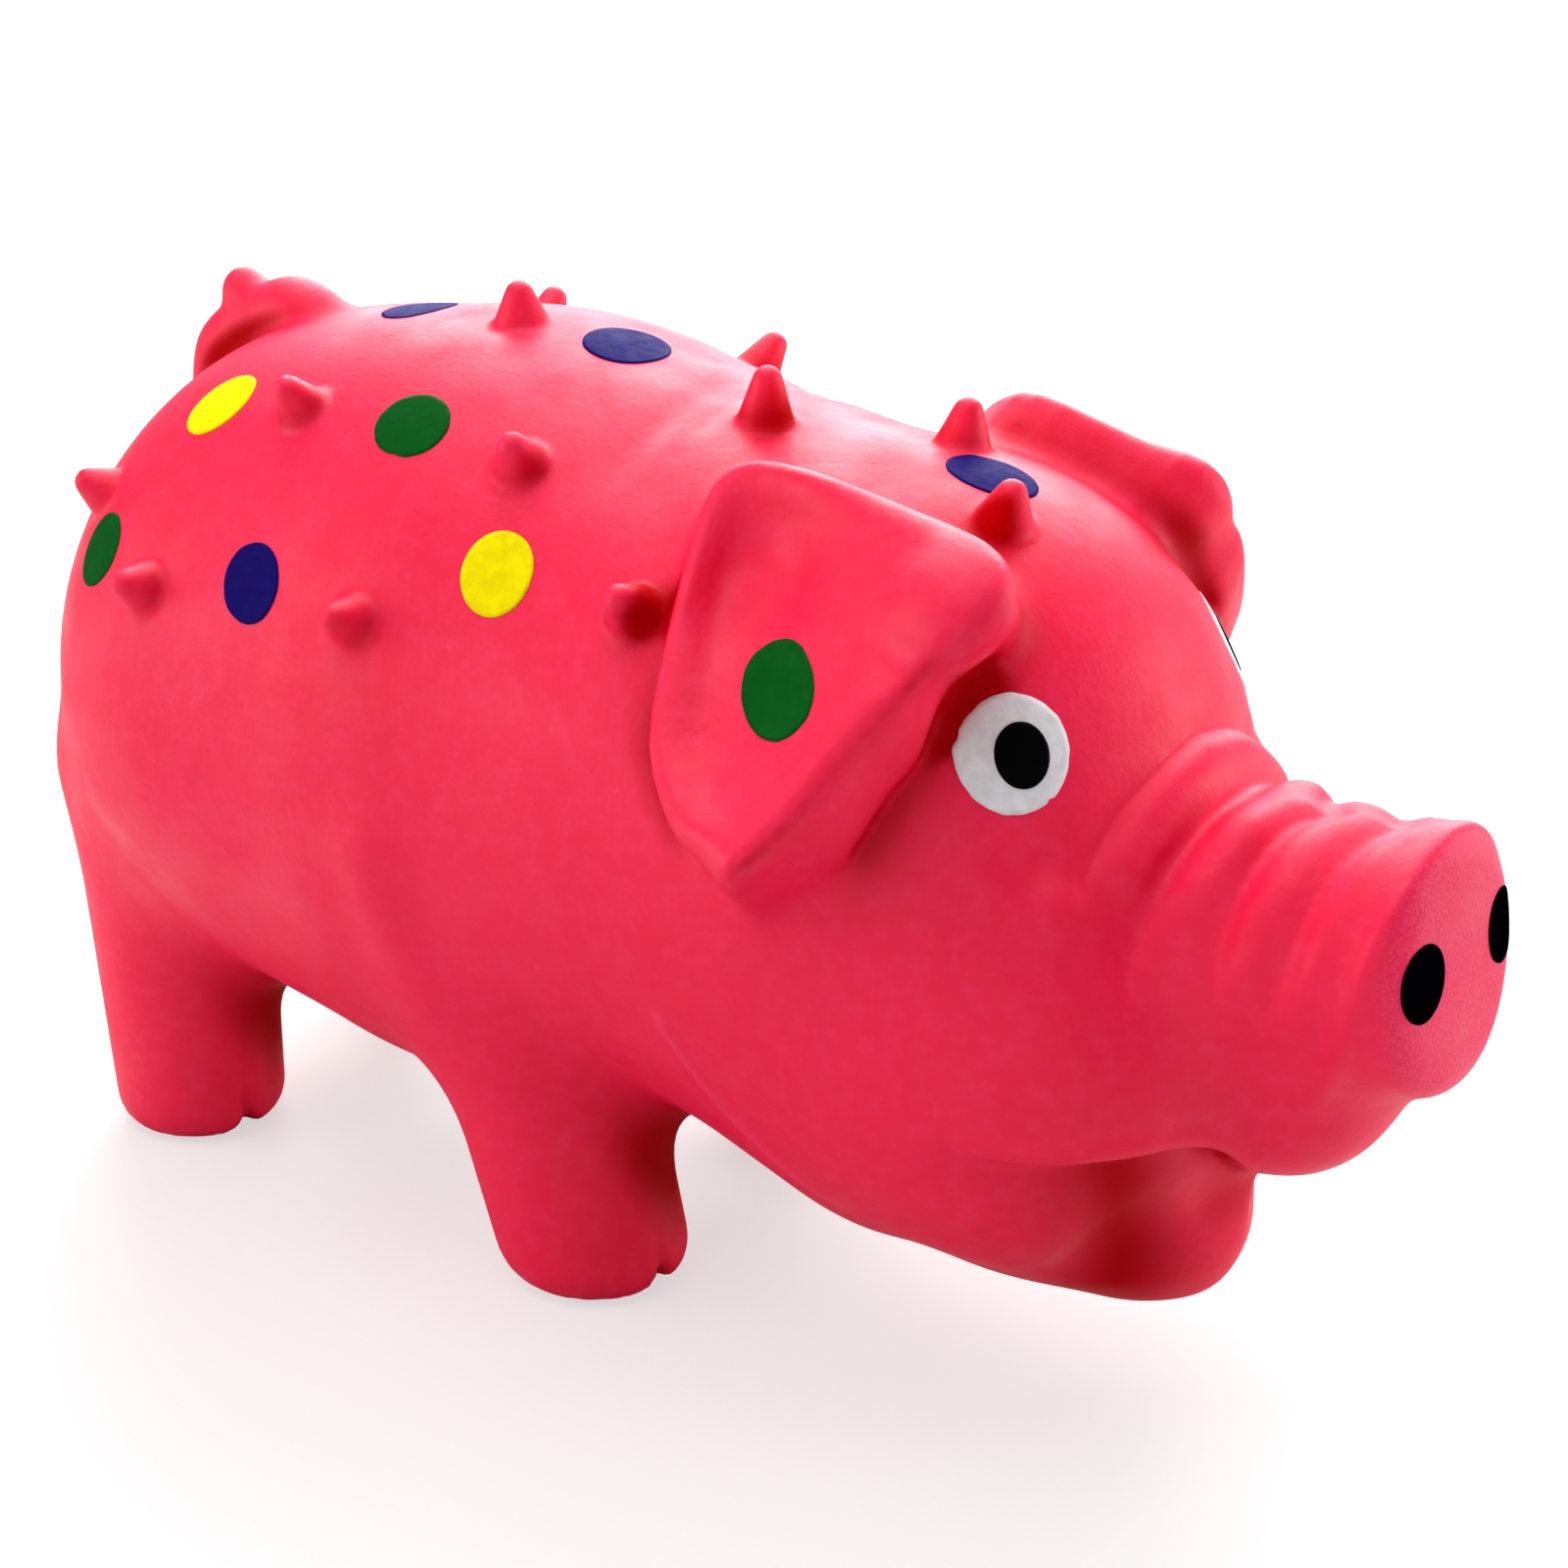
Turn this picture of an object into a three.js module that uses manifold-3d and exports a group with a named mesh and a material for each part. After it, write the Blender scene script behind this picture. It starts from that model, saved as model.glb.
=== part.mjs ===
// Squeaky pig dog toy: a one-piece latex skin stuffed with fibre, a squeaker pressed into its belly,
// and painted eyes, nostrils and spots. Millimetres. +X is the snout, +Y the pig's left and +Z is up.
// The soles stand on z = 0. Pieces with a mirrored twin are given on the pig's left, at +Y.
import * as THREE from 'three';
import { mergeVertices } from 'three/addons/utils/BufferGeometryUtils.js';
import Module from 'manifold-3d';

const wasm = await Module();
wasm.setup();

// Masses of the moulding: centre, radii and how softly each one runs into the ones before it
const torso = { at: [-33.6, 0, 68], radii: [64, 48, 54] };
const rump = { at: [-67.6, 0, 69], radii: [37, 47, 46], blend: 12 };
const shoulders = { at: [12.4, 0, 69], radii: [43, 44, 45], blend: 14 };
const skull = { at: [34.4, 0, 63], radii: [38, 42, 50], blend: 10 };
const cheek = { at: [55.4, 14, 46], radii: [25, 22, 25], blend: 14 };
const snoutFace = { x: 103.9, z: 70, lean: 0.1, rounding: 5 };
const snoutDepth = 5.5;
const snout = { base: [62.4, 0, 61], end: [snoutFace.x - snoutDepth, 0, 66.5], radii: [19.5, 16], blend: 7 };
const upperLip = { at: [81.4, 0, 46.5], radii: [14.5, 13.5, 12], blend: 10 };
const jaw = { at: [56.4, 0, 27.8], radii: [23, 19, 19.3], blend: 8 };
const mouthHollow = { at: [72.8, 21, 35], radii: [14, 10, 8.5] };

// Legs: a foot and a hip on one straight axis, a rounded flat sole and a cleft at the toe
const rearLeg = { foot: [-80.1, 26], hip: [-86.6, 22], footRadius: 12.5, hipRadius: 16, hipHeight: 53 };
const frontLeg = { foot: [-5.1, 26], hip: [-16.6, 24], footRadius: 13, hipRadius: 13, hipHeight: 44 };
const soleRounding = 3.5;
const groinBlend = 16;
const cleftWidth = 3;
const cleftHeight = 11;
const cleftDepth = 4;
const cleftShift = 1.2;

// Ears: a dished flap hanging from the top of the head, solid down to the head behind it
const ear = { at: [37.4, 37, 100], outward: [-0.04, 0.75, 0.66], inward: [-0.3, -0.7, -0.6], depth: 16 };
const earOutline = [[-23, 20], [-14, 21.5], [6, 19.5], [18, 15], [17.5, 3], [14, -6], [10, -17], [6, -24.5],
  [-5, -21], [-16, -11.5], [-20.5, 3]];
const earDish = { at: [-3, -2], radius: 16, depth: 4 };
const dishOverrun = 1.25;
const dishClear = 6;

// Horns: their outline from the root to the tip, in shares of radius and height, and base points near
// the skin, on one side or the other
const hornHeight = 7.5;
const hornRadius = 3.6;
const hornOutline = [[0, -0.2], [1, -0.2], [0.95, 0], [0.6, 0.45], [0.38, 0.88], [0, 1]];
const hornsOnBothSides = [[-80.8, 34.1, 96.7], [-61.6, 43.5, 89.8], [-25.8, 42.1, 93.1], [11.2, 34.2, 98.5]];
const rightHorns = [[-48.2, -27.5, 110.8], [-13, -26.5, 109.8]];
const ridgeHorns = [[-29.1, -8.3, 121.1], [9.7, -6.7, 114.9], [44.6, -10, 109.7]];
const leftHorns = [[-55.9, 25.2, 111.7], [-21.3, 28, 110.6], [30.4, 5.5, 113.2]];

// Curled tail lying on the top of the rump
const tailRoute = [[-66.2, 0, 110], [-75.2, -1, 114.5], [-85.7, -1, 113.2], [-92.2, 0, 106.5],
  [-94.2, 1, 98]];
const tailRadius = 6.5;
const tailKnob = { at: [-86.7, 1, 116.5], radius: 5 };

// Skin, stuffing and fits, and how far a cutter runs past what it cuts
const wall = 2;
const gap = 0.3;
const overshoot = 1;

// Squeaker: a flanged barrel in a flat boss of the belly, its reed and its grille
const squeakerX = -42.6;
const barrelRadius = 9.5;
const barrelWall = 1.5;
const barrelHeight = 20;
const bossRadius = 15;
const bossDrop = 0.5;
const bossCover = 0.8;
const outerFlangeRadius = 13.5;
const innerFlangeRadius = 11.5;
const flangeThickness = 1.4;
const ledgeHeight = 9;
const ledgeWidth = 1.5;
const ledgeThickness = 1.2;
const grilleThickness = 1.4;
const grilleHoleRadius = 1.1;
const grilleHoleCircle = 4.2;
const grilleHoles = 5;
const grilleHoleSides = 8;
const reedPlateThickness = 1.2;
const ringHeight = 2.2;
const ringWidth = 1.2;
const reed = { length: 9.5, width: 3.6, thickness: 0.35, heldLength: 2 };
const slotMargin = 0.5;
const clamp = { length: 1.8, width: 5.4, height: 1.2 };

// Paint: one film thickness, and each mark's centre, width, height and turn on the skin
const film = 0.35;
const eyeWhite = { at: [57.7, 24.5, 89.7], width: 13.6, height: 14.4, turn: 0 };
const pupil = { at: [59.1, 23.3, 89.5], width: 6.8, height: 7.8, turn: 0 };
const nostril = { at: [snoutFace.x, 9.8, 68.4], width: 6.2, height: 9.4, turn: 0 };
const earSpot = { at: [-5, -3], width: 9, height: 12 };
const sideSpots = {
  rump_top: { at: [-66.9, 25.6, 110], width: 9, height: 11, turn: 0.6, colour: 'yellow' },
  back: { at: [-31.4, 26.2, 113.2], width: 11, height: 9.5, turn: 0.3, colour: 'green' },
  rump_side: { at: [-76.8, 39.7, 91.5], width: 9.5, height: 10.5, turn: 0, colour: 'green' },
  flank: { at: [-45.8, 41.7, 93.5], width: 8.5, height: 10.5, turn: 0, colour: 'blue' },
  shoulder: { at: [-9.6, 35.2, 100.3], width: 9.5, height: 11, turn: 0, colour: 'yellow' },
};
const midSpots = {
  rump: { at: [-54.3, 0, 119.7], width: 11, height: 10, turn: 0, colour: 'blue' },
  spine: { at: [-17.8, 0, 120.3], width: 11.5, height: 10, turn: 0, colour: 'blue' },
  forehead: { at: [38.2, 0, 113.1], width: 11, height: 9.5, turn: 0, colour: 'blue' },
};

// Fineness of the meshes
const rearRings = 17;
const snoutRings = 9;
const endSteps = [0.05, 0.6, 2.5];
const bodySides = 32;
const insideSides = 20;
const legSides = 16;
const legShares = [0.2, 0.4, 0.6, 0.8, 1];
const hipAngles = [Math.PI / 6, Math.PI / 3];
const earPoints = 28;
const dishSides = 20;
const dishSteps = 7;
const tailSteps = 8;
const tailArcs = 6;
const jawSides = [20, 14];
const mouthSides = [14, 10];
const smallBallSides = [12, 9];
const roundSides = 18;
const hornSides = 6;
const spotSides = 12;

// Searches for the skin: steps along a ray and halvings of the last one, then steps towards the skin
const rayStep = 1;
const rayHalvings = 24;
const slopeStep = 0.2;
const skinSteps = 12;
const skinShare = 0.8;
const weldTolerance = 1e-4;
const nearlyUp = 0.95;

const finishes = {
  latex: { color: '#ee3f5e', roughness: 0.55, metalness: 0 },
  wadding: { color: '#f1efe9', roughness: 0.95, metalness: 0 },
  plastic: { color: '#f0ede2', roughness: 0.4, metalness: 0 },
  brass: { color: '#c9a24b', roughness: 0.35, metalness: 1 },
  white: { color: '#dde1e6', roughness: 0.4, metalness: 0 },
  black: { color: '#0b0b0d', roughness: 0.25, metalness: 0 },
  blue: { color: '#2f2a80', roughness: 0.45, metalness: 0 },
  green: { color: '#0e7a35', roughness: 0.45, metalness: 0 },
  yellow: { color: '#ffef12', roughness: 0.45, metalness: 0 },
};
const model = new THREE.Group();

function addPiece(name, geometry, finish) {
  const mesh = new THREE.Mesh(geometry, new THREE.MeshStandardMaterial(finishes[finish]));
  mesh.name = name;
  model.add(mesh);
  return mesh;
}

// Solids

function toSolid(source) {
  const bare = source.clone();
  bare.deleteAttribute('normal');
  bare.deleteAttribute('uv');
  const merged = mergeVertices(bare, weldTolerance);
  return new wasm.Manifold(new wasm.Mesh({
    numProp: 3,
    vertProperties: new Float32Array(merged.attributes.position.array),
    triVerts: new Uint32Array(merged.index.array),
  }));
}

function toGeometry(solid) {
  const mesh = solid.getMesh();
  const geometry = new THREE.BufferGeometry();
  geometry.setAttribute('position', new THREE.BufferAttribute(mesh.vertProperties, 3));
  geometry.setIndex(new THREE.BufferAttribute(mesh.triVerts, 1));
  geometry.computeVertexNormals();
  return geometry;
}

function meshOf(points, faces) {
  const geometry = new THREE.BufferGeometry();
  geometry.setAttribute('position', new THREE.Float32BufferAttribute(points.flat(), 3));
  geometry.setIndex(faces.flat());
  return geometry;
}

// Closed surface through rings of points, each ring turning left seen from the end that it runs to
function loft(rings, start, end) {
  const sides = rings[0].length;
  const faces = [];
  const last = (rings.length - 1) * sides;
  for (let i = 0; i < sides; i += 1) {
    const next = (i + 1) % sides;
    for (let r = 0; r < rings.length - 1; r += 1) {
      const low = r * sides;
      faces.push([low + i, low + next, low + sides + next], [low + i, low + sides + next, low + sides + i]);
    }
    faces.push([rings.length * sides, next, i], [rings.length * sides + 1, last + i, last + next]);
  }
  return meshOf([...rings.flat(), start, end], faces);
}

function mirrored(source) {
  const geometry = source.clone().scale(1, -1, 1);
  const index = Array.from(geometry.index.array);
  for (let i = 0; i < index.length; i += 3) {
    [index[i], index[i + 1]] = [index[i + 1], index[i]];
  }
  geometry.setIndex(index);
  return geometry;
}

function turned(points, sides = roundSides) {
  const outline = points.map(([radius, height]) => new THREE.Vector2(radius, height));
  return new THREE.LatheGeometry(outline, sides).rotateX(Math.PI / 2);
}

function cylinder(radius, low, high, sides = roundSides) {
  return turned([[0, low], [radius, low], [radius, high], [0, high]], sides);
}

function ball(at, radii, [across, down]) {
  return new THREE.SphereGeometry(1, across, down).scale(...radii).translate(...at);
}

// Form of the moulding, as a distance that is negative inside it

const toBall = (point, at, radii) => {
  const q = point.map((value, i) => value - at[i]);
  const near = Math.hypot(...q.map((value, i) => value / radii[i]));
  const slope = Math.hypot(...q.map((value, i) => value / radii[i] ** 2)) + 1e-9;
  return near * (near - 1) / slope;
};

function toCone(point, base, end, radii) {
  const axis = end.map((value, i) => value - base[i]);
  const offset = point.map((value, i) => value - base[i]);
  const along = axis.reduce((sum, value, i) => sum + value * offset[i], 0) / Math.hypot(...axis) ** 2;
  const share = Math.min(Math.max(along, 0), 1);
  const across = Math.hypot(...offset.map((value, i) => value - share * axis[i]));
  return across - radii[0] - (radii[1] - radii[0]) * share;
}

function softJoin(a, b, blend) {
  const overlap = Math.max(blend - Math.abs(a - b), 0) / blend;
  return Math.min(a, b) - overlap * overlap * blend / 4;
}

function toBody(point) {
  const folded = [point[0], Math.abs(point[1]), point[2]];
  let body = toBall(point, torso.at, torso.radii);
  for (const mass of [rump, shoulders, skull]) {
    body = softJoin(body, toBall(point, mass.at, mass.radii), mass.blend);
  }
  body = softJoin(body, toBall(folded, cheek.at, cheek.radii), cheek.blend);
  const face = point[0] - snoutFace.x - snoutFace.lean * (snoutFace.z - point[2]);
  let nose = toCone(point, snout.base, snout.end, snout.radii);
  nose = -softJoin(-nose, -face, snoutFace.rounding);
  nose = softJoin(nose, toBall(point, upperLip.at, upperLip.radii), upperLip.blend);
  body = softJoin(body, nose, snout.blend);
  return softJoin(body, toBall(point, jaw.at, jaw.radii), jaw.blend);
}

// Where a ray from inside leaves the form, at a depth under its surface
function leaves(from, direction, depth) {
  const at = (t) => from.map((value, i) => value + direction[i] * t);
  let far = 0;
  while (toBody(at(far)) < -depth) far += rayStep;
  let near = Math.max(far - rayStep, 0);
  for (let i = 0; i < rayHalvings; i += 1) {
    const middle = (near + far) / 2;
    if (toBody(at(middle)) < -depth) near = middle;
    else far = middle;
  }
  return at(far);
}

// Stations along the body, closer together from the brow to the snout and at both ends
function stations(rear, front) {
  const brow = snout.base[0] - snout.blend;
  const inset = 2 * endSteps.at(-1);
  const along = [...endSteps.map((step) => rear + step)];
  for (let i = 0; i < rearRings; i += 1) {
    along.push(THREE.MathUtils.lerp(rear + inset, brow, i / rearRings));
  }
  for (let i = 0; i <= snoutRings; i += 1) {
    along.push(THREE.MathUtils.lerp(brow, front - inset, i / snoutRings));
  }
  return [...along, ...endSteps.map((step) => front - step).reverse()];
}

// The body from the rump to the snout: rings round a spine, the last ones square to the snout's face
function bodyLoft(depth, sides) {
  const spineZ = (x) => THREE.MathUtils.lerp(torso.at[2], snout.end[2], THREE.MathUtils.smoothstep(x,
    snout.base[0], snout.end[0]));
  const rear = leaves(rump.at, [-1, 0, 0], depth);
  const front = leaves(snout.end, [1, 0, 0], depth);
  const rings = stations(rear[0], front[0]).map((x) => {
    const lean = snoutFace.lean * THREE.MathUtils.smoothstep(x, snout.base[0], snout.end[0]);
    return Array.from({ length: sides }, (unused, i) => {
      const angle = 2 * Math.PI * i / sides;
      const up = Math.sin(angle);
      return leaves([x, 0, spineZ(x)], [-lean * up, Math.cos(angle), up], depth);
    });
  });
  return loft(rings, rear, front);
}

// Leg at a depth under its own surface: a rounded sole, a straight leg that fills out into the body,
// and a round hip inside it
function legLoft(leg, side, depth) {
  const hipTop = leg.hipRadius - depth;
  const stops = [
    { z: depth, less: soleRounding },
    { z: depth + soleRounding * (1 - Math.SQRT1_2), less: soleRounding * (1 - Math.SQRT1_2) },
    { z: depth + soleRounding, less: 0 },
    ...legShares.map((share) => ({ z: leg.hipHeight * share, less: 0 })),
    ...hipAngles.map((angle) => ({
      z: leg.hipHeight + hipTop * Math.sin(angle),
      less: hipTop * (1 - Math.cos(angle)),
    })),
  ];
  const rings = stops.map(({ z, less }) => {
    const share = Math.min(z / leg.hipHeight, 1);
    const radius = THREE.MathUtils.lerp(leg.footRadius, leg.hipRadius, share) - less;
    const x = THREE.MathUtils.lerp(leg.foot[0], leg.hip[0], share);
    const y = THREE.MathUtils.lerp(leg.foot[1], leg.hip[1], share) * side;
    return Array.from({ length: legSides }, (unused, i) => {
      const angle = 2 * Math.PI * i / legSides;
      const away = toBody([x + radius * Math.cos(angle), y + radius * Math.sin(angle), z]);
      const fill = groinBlend / 4 * Math.max(1 - Math.abs(away) / groinBlend, 0) ** 2;
      const reach = radius + fill - depth;
      return [x + reach * Math.cos(angle), y + reach * Math.sin(angle), z];
    });
  });
  const sole = [leg.foot[0], leg.foot[1] * side, depth];
  return loft(rings, sole, [leg.hip[0], leg.hip[1] * side, leg.hipHeight + hipTop]);
}

function cleft(leg, side) {
  const at = [leg.foot[0] + leg.footRadius + cleftShift, leg.foot[1] * side, 0];
  return ball(at, [cleftDepth, cleftWidth / 2, cleftHeight], smallBallSides);
}

// Nearest point of the skin to a point, and the way out of the skin there
function onSkin(near) {
  let point = [...near];
  let out = [0, 0, 1];
  for (let i = 0; i < skinSteps; i += 1) {
    const slope = [0, 1, 2].map((k) => {
      const ahead = point.map((value, j) => value + (j === k ? slopeStep : 0));
      const behind = point.map((value, j) => value - (j === k ? slopeStep : 0));
      return toBody(ahead) - toBody(behind);
    });
    const length = Math.hypot(...slope);
    out = slope.map((value) => value / length);
    const miss = toBody(point);
    point = point.map((value, k) => value - out[k] * miss * skinShare);
  }
  return { point: new THREE.Vector3(...point), out: new THREE.Vector3(...out) };
}

function horn(near) {
  const { point, out } = onSkin(near);
  const outline = hornOutline.map(([across, up]) => [across * hornRadius, up * hornHeight]);
  const turn = new THREE.Quaternion().setFromUnitVectors(new THREE.Vector3(0, 0, 1), out);
  return turned(outline, hornSides).applyQuaternion(turn).translate(...point);
}

// Ear frame on the pig's left: along is forward in the flap, up runs to its root, out leaves its face
const earOut = new THREE.Vector3(...ear.outward).normalize();
const earAlong = new THREE.Vector3().crossVectors(earOut, new THREE.Vector3(0, 0, 1)).normalize();
const earUp = new THREE.Vector3().crossVectors(earAlong, earOut);
const earFrame = new THREE.Matrix4().makeBasis(earAlong, earUp, earOut.clone().negate())
  .setPosition(...ear.at);
const earSlant = new THREE.Matrix4().makeBasis(earAlong, earUp, new THREE.Vector3(...ear.inward))
  .setPosition(...ear.at);
const dishRadius = (earDish.radius ** 2 + earDish.depth ** 2) / (2 * earDish.depth);
const dishCentre = [...earDish.at, earDish.depth - dishRadius];

function earSolid() {
  const outline = new THREE.SplineCurve(earOutline.map(([x, y]) => new THREE.Vector2(x, y)));
  outline.points.push(outline.points[0]);
  const shape = new THREE.Shape(outline.getPoints(earPoints).slice(0, -1));
  const flap = new THREE.ExtrudeGeometry(shape, { depth: ear.depth, bevelEnabled: false });
  const reach = dishOverrun * Math.asin(earDish.radius / dishRadius);
  const arc = Array.from({ length: dishSteps + 1 }, (unused, i) => {
    const angle = reach * i / dishSteps;
    return [dishRadius * Math.sin(angle), dishRadius * Math.cos(angle)];
  });
  const rim = arc.at(-1);
  const top = rim[1] - dishClear;
  const bowl = turned([...arc, [rim[0], top], [0, top]].reverse(), dishSides).translate(...dishCentre);
  return toSolid(flap.applyMatrix4(earSlant)).subtract(toSolid(bowl.applyMatrix4(earFrame)));
}

function flipped(solid) {
  return toSolid(mirrored(toGeometry(solid)));
}

function tail() {
  const route = new THREE.CatmullRomCurve3(tailRoute.map((point) => new THREE.Vector3(...point)));
  const ring = new THREE.Shape().absarc(0, 0, tailRadius, 0, 2 * Math.PI);
  const options = { steps: tailSteps, extrudePath: route, curveSegments: tailArcs };
  const tube = new THREE.ExtrudeGeometry(ring, options);
  const knob = ball(tailKnob.at, Array(3).fill(tailKnob.radius), smallBallSides);
  return toSolid(tube).add(toSolid(knob));
}

// Belly: the lowest skin over the squeaker, and the flat boss that holds it
const bellyAt = (x, y, depth) => leaves([squeakerX + x, y, torso.at[2]], [0, 0, -1], depth)[2];
const seatRadius = innerFlangeRadius + gap;
const bossLow = Math.min(bellyAt(-bossRadius, 0, 0), bellyAt(0, 0, 0), bellyAt(bossRadius, 0, 0)) - bossDrop;
const bossHigh = Math.max(bellyAt(-seatRadius, 0, wall), bellyAt(0, seatRadius, wall),
  bellyAt(seatRadius, 0, wall)) + bossCover;
const flangeLow = bossLow - gap - flangeThickness;

function atSqueaker(geometry) {
  return geometry.translate(squeakerX, 0, flangeLow);
}

// Both hollows of the mouth, grown by the skin round them
function mouthSolid(growth) {
  const radii = mouthHollow.radii.map((radius) => radius + growth);
  const hollow = toSolid(ball(mouthHollow.at, radii, mouthSides));
  return hollow.add(flipped(hollow));
}

function latexSkin() {
  const legs = [[rearLeg, 1], [rearLeg, -1], [frontLeg, 1], [frontLeg, -1]];
  const jawSolid = toSolid(ball(jaw.at, jaw.radii, jawSides));
  const leftEar = earSolid();
  let skin = toSolid(bodyLoft(0, bodySides)).add(jawSolid);
  skin = skin.subtract(mouthSolid(0));
  skin = skin.add(leftEar).add(flipped(leftEar)).add(tail());
  for (const [leg, side] of legs) {
    skin = skin.add(toSolid(legLoft(leg, side, 0))).subtract(toSolid(cleft(leg, side)));
  }
  for (const near of hornsOnBothSides) {
    skin = skin.add(toSolid(horn(near))).add(toSolid(horn([near[0], -near[1], near[2]])));
  }
  for (const near of [...rightHorns, ...ridgeHorns, ...leftHorns]) skin = skin.add(toSolid(horn(near)));
  let inside = toSolid(bodyLoft(wall, insideSides));
  for (const [leg, side] of legs) inside = inside.add(toSolid(legLoft(leg, side, wall)));
  inside = inside.subtract(mouthSolid(wall));
  const boss = toSolid(cylinder(bossRadius, bossLow, bossHigh).translate(squeakerX, 0, 0));
  const hole = cylinder(barrelRadius + gap, bossLow - overshoot, bossHigh + overshoot);
  return skin.subtract(inside).add(boss).subtract(toSolid(hole.translate(squeakerX, 0, 0)));
}

// Stuffing: what the skin holds, with a pocket over the boss and the squeaker
function stuffing() {
  const pocketTop = flangeLow + barrelHeight + gap;
  const body = toSolid(bodyLoft(wall + gap, insideSides));
  const aroundBoss = cylinder(bossRadius + gap, 0, bossHigh + gap).translate(squeakerX, 0, 0);
  const aroundBarrel = cylinder(innerFlangeRadius + gap, 0, pocketTop).translate(squeakerX, 0, 0);
  return body.subtract(toSolid(aroundBoss)).subtract(toSolid(aroundBarrel)).subtract(mouthSolid(wall + gap));
}

// Squeaker pieces, with heights from the underside of its outer flange
const bore = barrelRadius - barrelWall;
const innerFlangeLow = bossHigh + gap - flangeLow;
const innerFlangeHigh = innerFlangeLow + flangeThickness;
const ledgeHigh = ledgeHeight + ledgeThickness;
const plateLow = ledgeHigh + gap;
const plateHigh = plateLow + reedPlateThickness;
const fitRadius = bore - gap;
const reedLow = plateHigh + gap;
const reedHigh = reedLow + reed.thickness;
const reedRoot = -reed.length / 2;
const reedAxisX = reedRoot + reed.heldLength;

function housing() {
  return atSqueaker(turned([[bore, 0], [outerFlangeRadius, 0], [outerFlangeRadius, flangeThickness],
    [barrelRadius, flangeThickness], [barrelRadius, innerFlangeLow], [innerFlangeRadius, innerFlangeLow],
    [barrelRadius, innerFlangeHigh], [barrelRadius, barrelHeight], [bore, barrelHeight],
    [bore, ledgeHigh], [bore - ledgeWidth, ledgeHigh], [bore - ledgeWidth, ledgeHeight],
    [bore, ledgeHeight], [bore, 0]]));
}

function grille() {
  let disc = toSolid(cylinder(fitRadius, 0, grilleThickness));
  for (let i = 0; i < grilleHoles; i += 1) {
    const angle = 2 * Math.PI * i / grilleHoles;
    const hole = cylinder(grilleHoleRadius, -overshoot, grilleThickness + overshoot, grilleHoleSides);
    hole.translate(grilleHoleCircle * Math.cos(angle), grilleHoleCircle * Math.sin(angle), 0);
    disc = disc.subtract(toSolid(hole));
  }
  return atSqueaker(toGeometry(disc));
}

function box(xLow, xHigh, width, zLow, zHigh) {
  return new THREE.BoxGeometry(xHigh - xLow, width, zHigh - zLow)
    .translate((xLow + xHigh) / 2, 0, (zLow + zHigh) / 2);
}

function reedPlate() {
  const slot = box(reedAxisX, slotMargin - reedRoot, reed.width + 2 * slotMargin, plateLow - overshoot,
    plateHigh + overshoot);
  return atSqueaker(toGeometry(toSolid(cylinder(fitRadius, plateLow, plateHigh)).subtract(toSolid(slot))));
}

function retainingRing() {
  const low = plateHigh + gap;
  return atSqueaker(turned([[fitRadius - ringWidth, low], [fitRadius, low], [fitRadius, low + ringHeight],
    [fitRadius - ringWidth, low + ringHeight], [fitRadius - ringWidth, low]]));
}

// Reed clamp: a bar over the reed's root, on two feet that stand beside it on the plate
function reedClamp() {
  const low = reedHigh + gap;
  const start = reedAxisX - clamp.length;
  const block = toSolid(box(start, reedAxisX, clamp.width, plateHigh + gap, low + clamp.height));
  const passage = box(start - overshoot, reedAxisX + overshoot, reed.width + 2 * gap, plateHigh, low);
  return atSqueaker(toGeometry(block.subtract(toSolid(passage))));
}

// Paint: a thin film over the skin, wide across the mark and high towards its top
function paintMark(mark, lift, place) {
  const at = (across, up, height) => {
    const { point, out } = place([across, up]);
    return point.addScaledVector(out, height).toArray();
  };
  const [low, high] = [lift, lift + film].map((height) => Array.from({ length: spotSides }, (unused, i) => {
    const angle = 2 * Math.PI * i / spotSides;
    return at(mark.width / 2 * Math.cos(angle), mark.height / 2 * Math.sin(angle), height);
  }));
  return loft([low, high], at(0, 0, lift), at(0, 0, lift + film));
}

// Places on the body's skin round a mark, with its own turn about the way out
function bodyPlaces(mark) {
  const { point, out } = onSkin(mark.at);
  const level = Math.abs(out.z) > nearlyUp ? new THREE.Vector3(-1, 0, 0) : new THREE.Vector3(0, 0, 1);
  const right = new THREE.Vector3().crossVectors(level, out).normalize().applyAxisAngle(out, mark.turn);
  const up = new THREE.Vector3().crossVectors(out, right);
  return ([across, rise]) => onSkin(point.clone().addScaledVector(right, across)
    .addScaledVector(up, rise).toArray());
}

// Places on the ear's dish, in its own frame
function earPlaces(mark) {
  const centre = new THREE.Vector3(...dishCentre).applyMatrix4(earFrame);
  return ([across, rise]) => {
    const flat = new THREE.Vector3(mark.at[0] - across, mark.at[1] + rise, 0).applyMatrix4(earFrame);
    const out = centre.clone().sub(flat).normalize();
    return { point: centre.clone().addScaledVector(out, -dishRadius), out };
  };
}

function addMarkPair(name, mark, finish, lift) {
  const geometry = paintMark(mark, lift, bodyPlaces(mark));
  addPiece(`${name}_left`, geometry, finish);
  addPiece(`${name}_right`, mirrored(geometry), finish);
}

addPiece('latex_skin', toGeometry(latexSkin()), 'latex');
addPiece('fibre_stuffing', toGeometry(stuffing()), 'wadding');
addPiece('squeaker_housing', housing(), 'plastic');
addPiece('squeaker_grille', grille(), 'plastic');
addPiece('reed_plate', reedPlate(), 'plastic');
addPiece('retaining_ring', retainingRing(), 'plastic');
addPiece('reed_clamp', reedClamp(), 'plastic');
const tongue = box(reedRoot, -reedRoot, reed.width, reedLow, reedHigh);
addPiece('reed_tongue', atSqueaker(tongue), 'brass');

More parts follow.
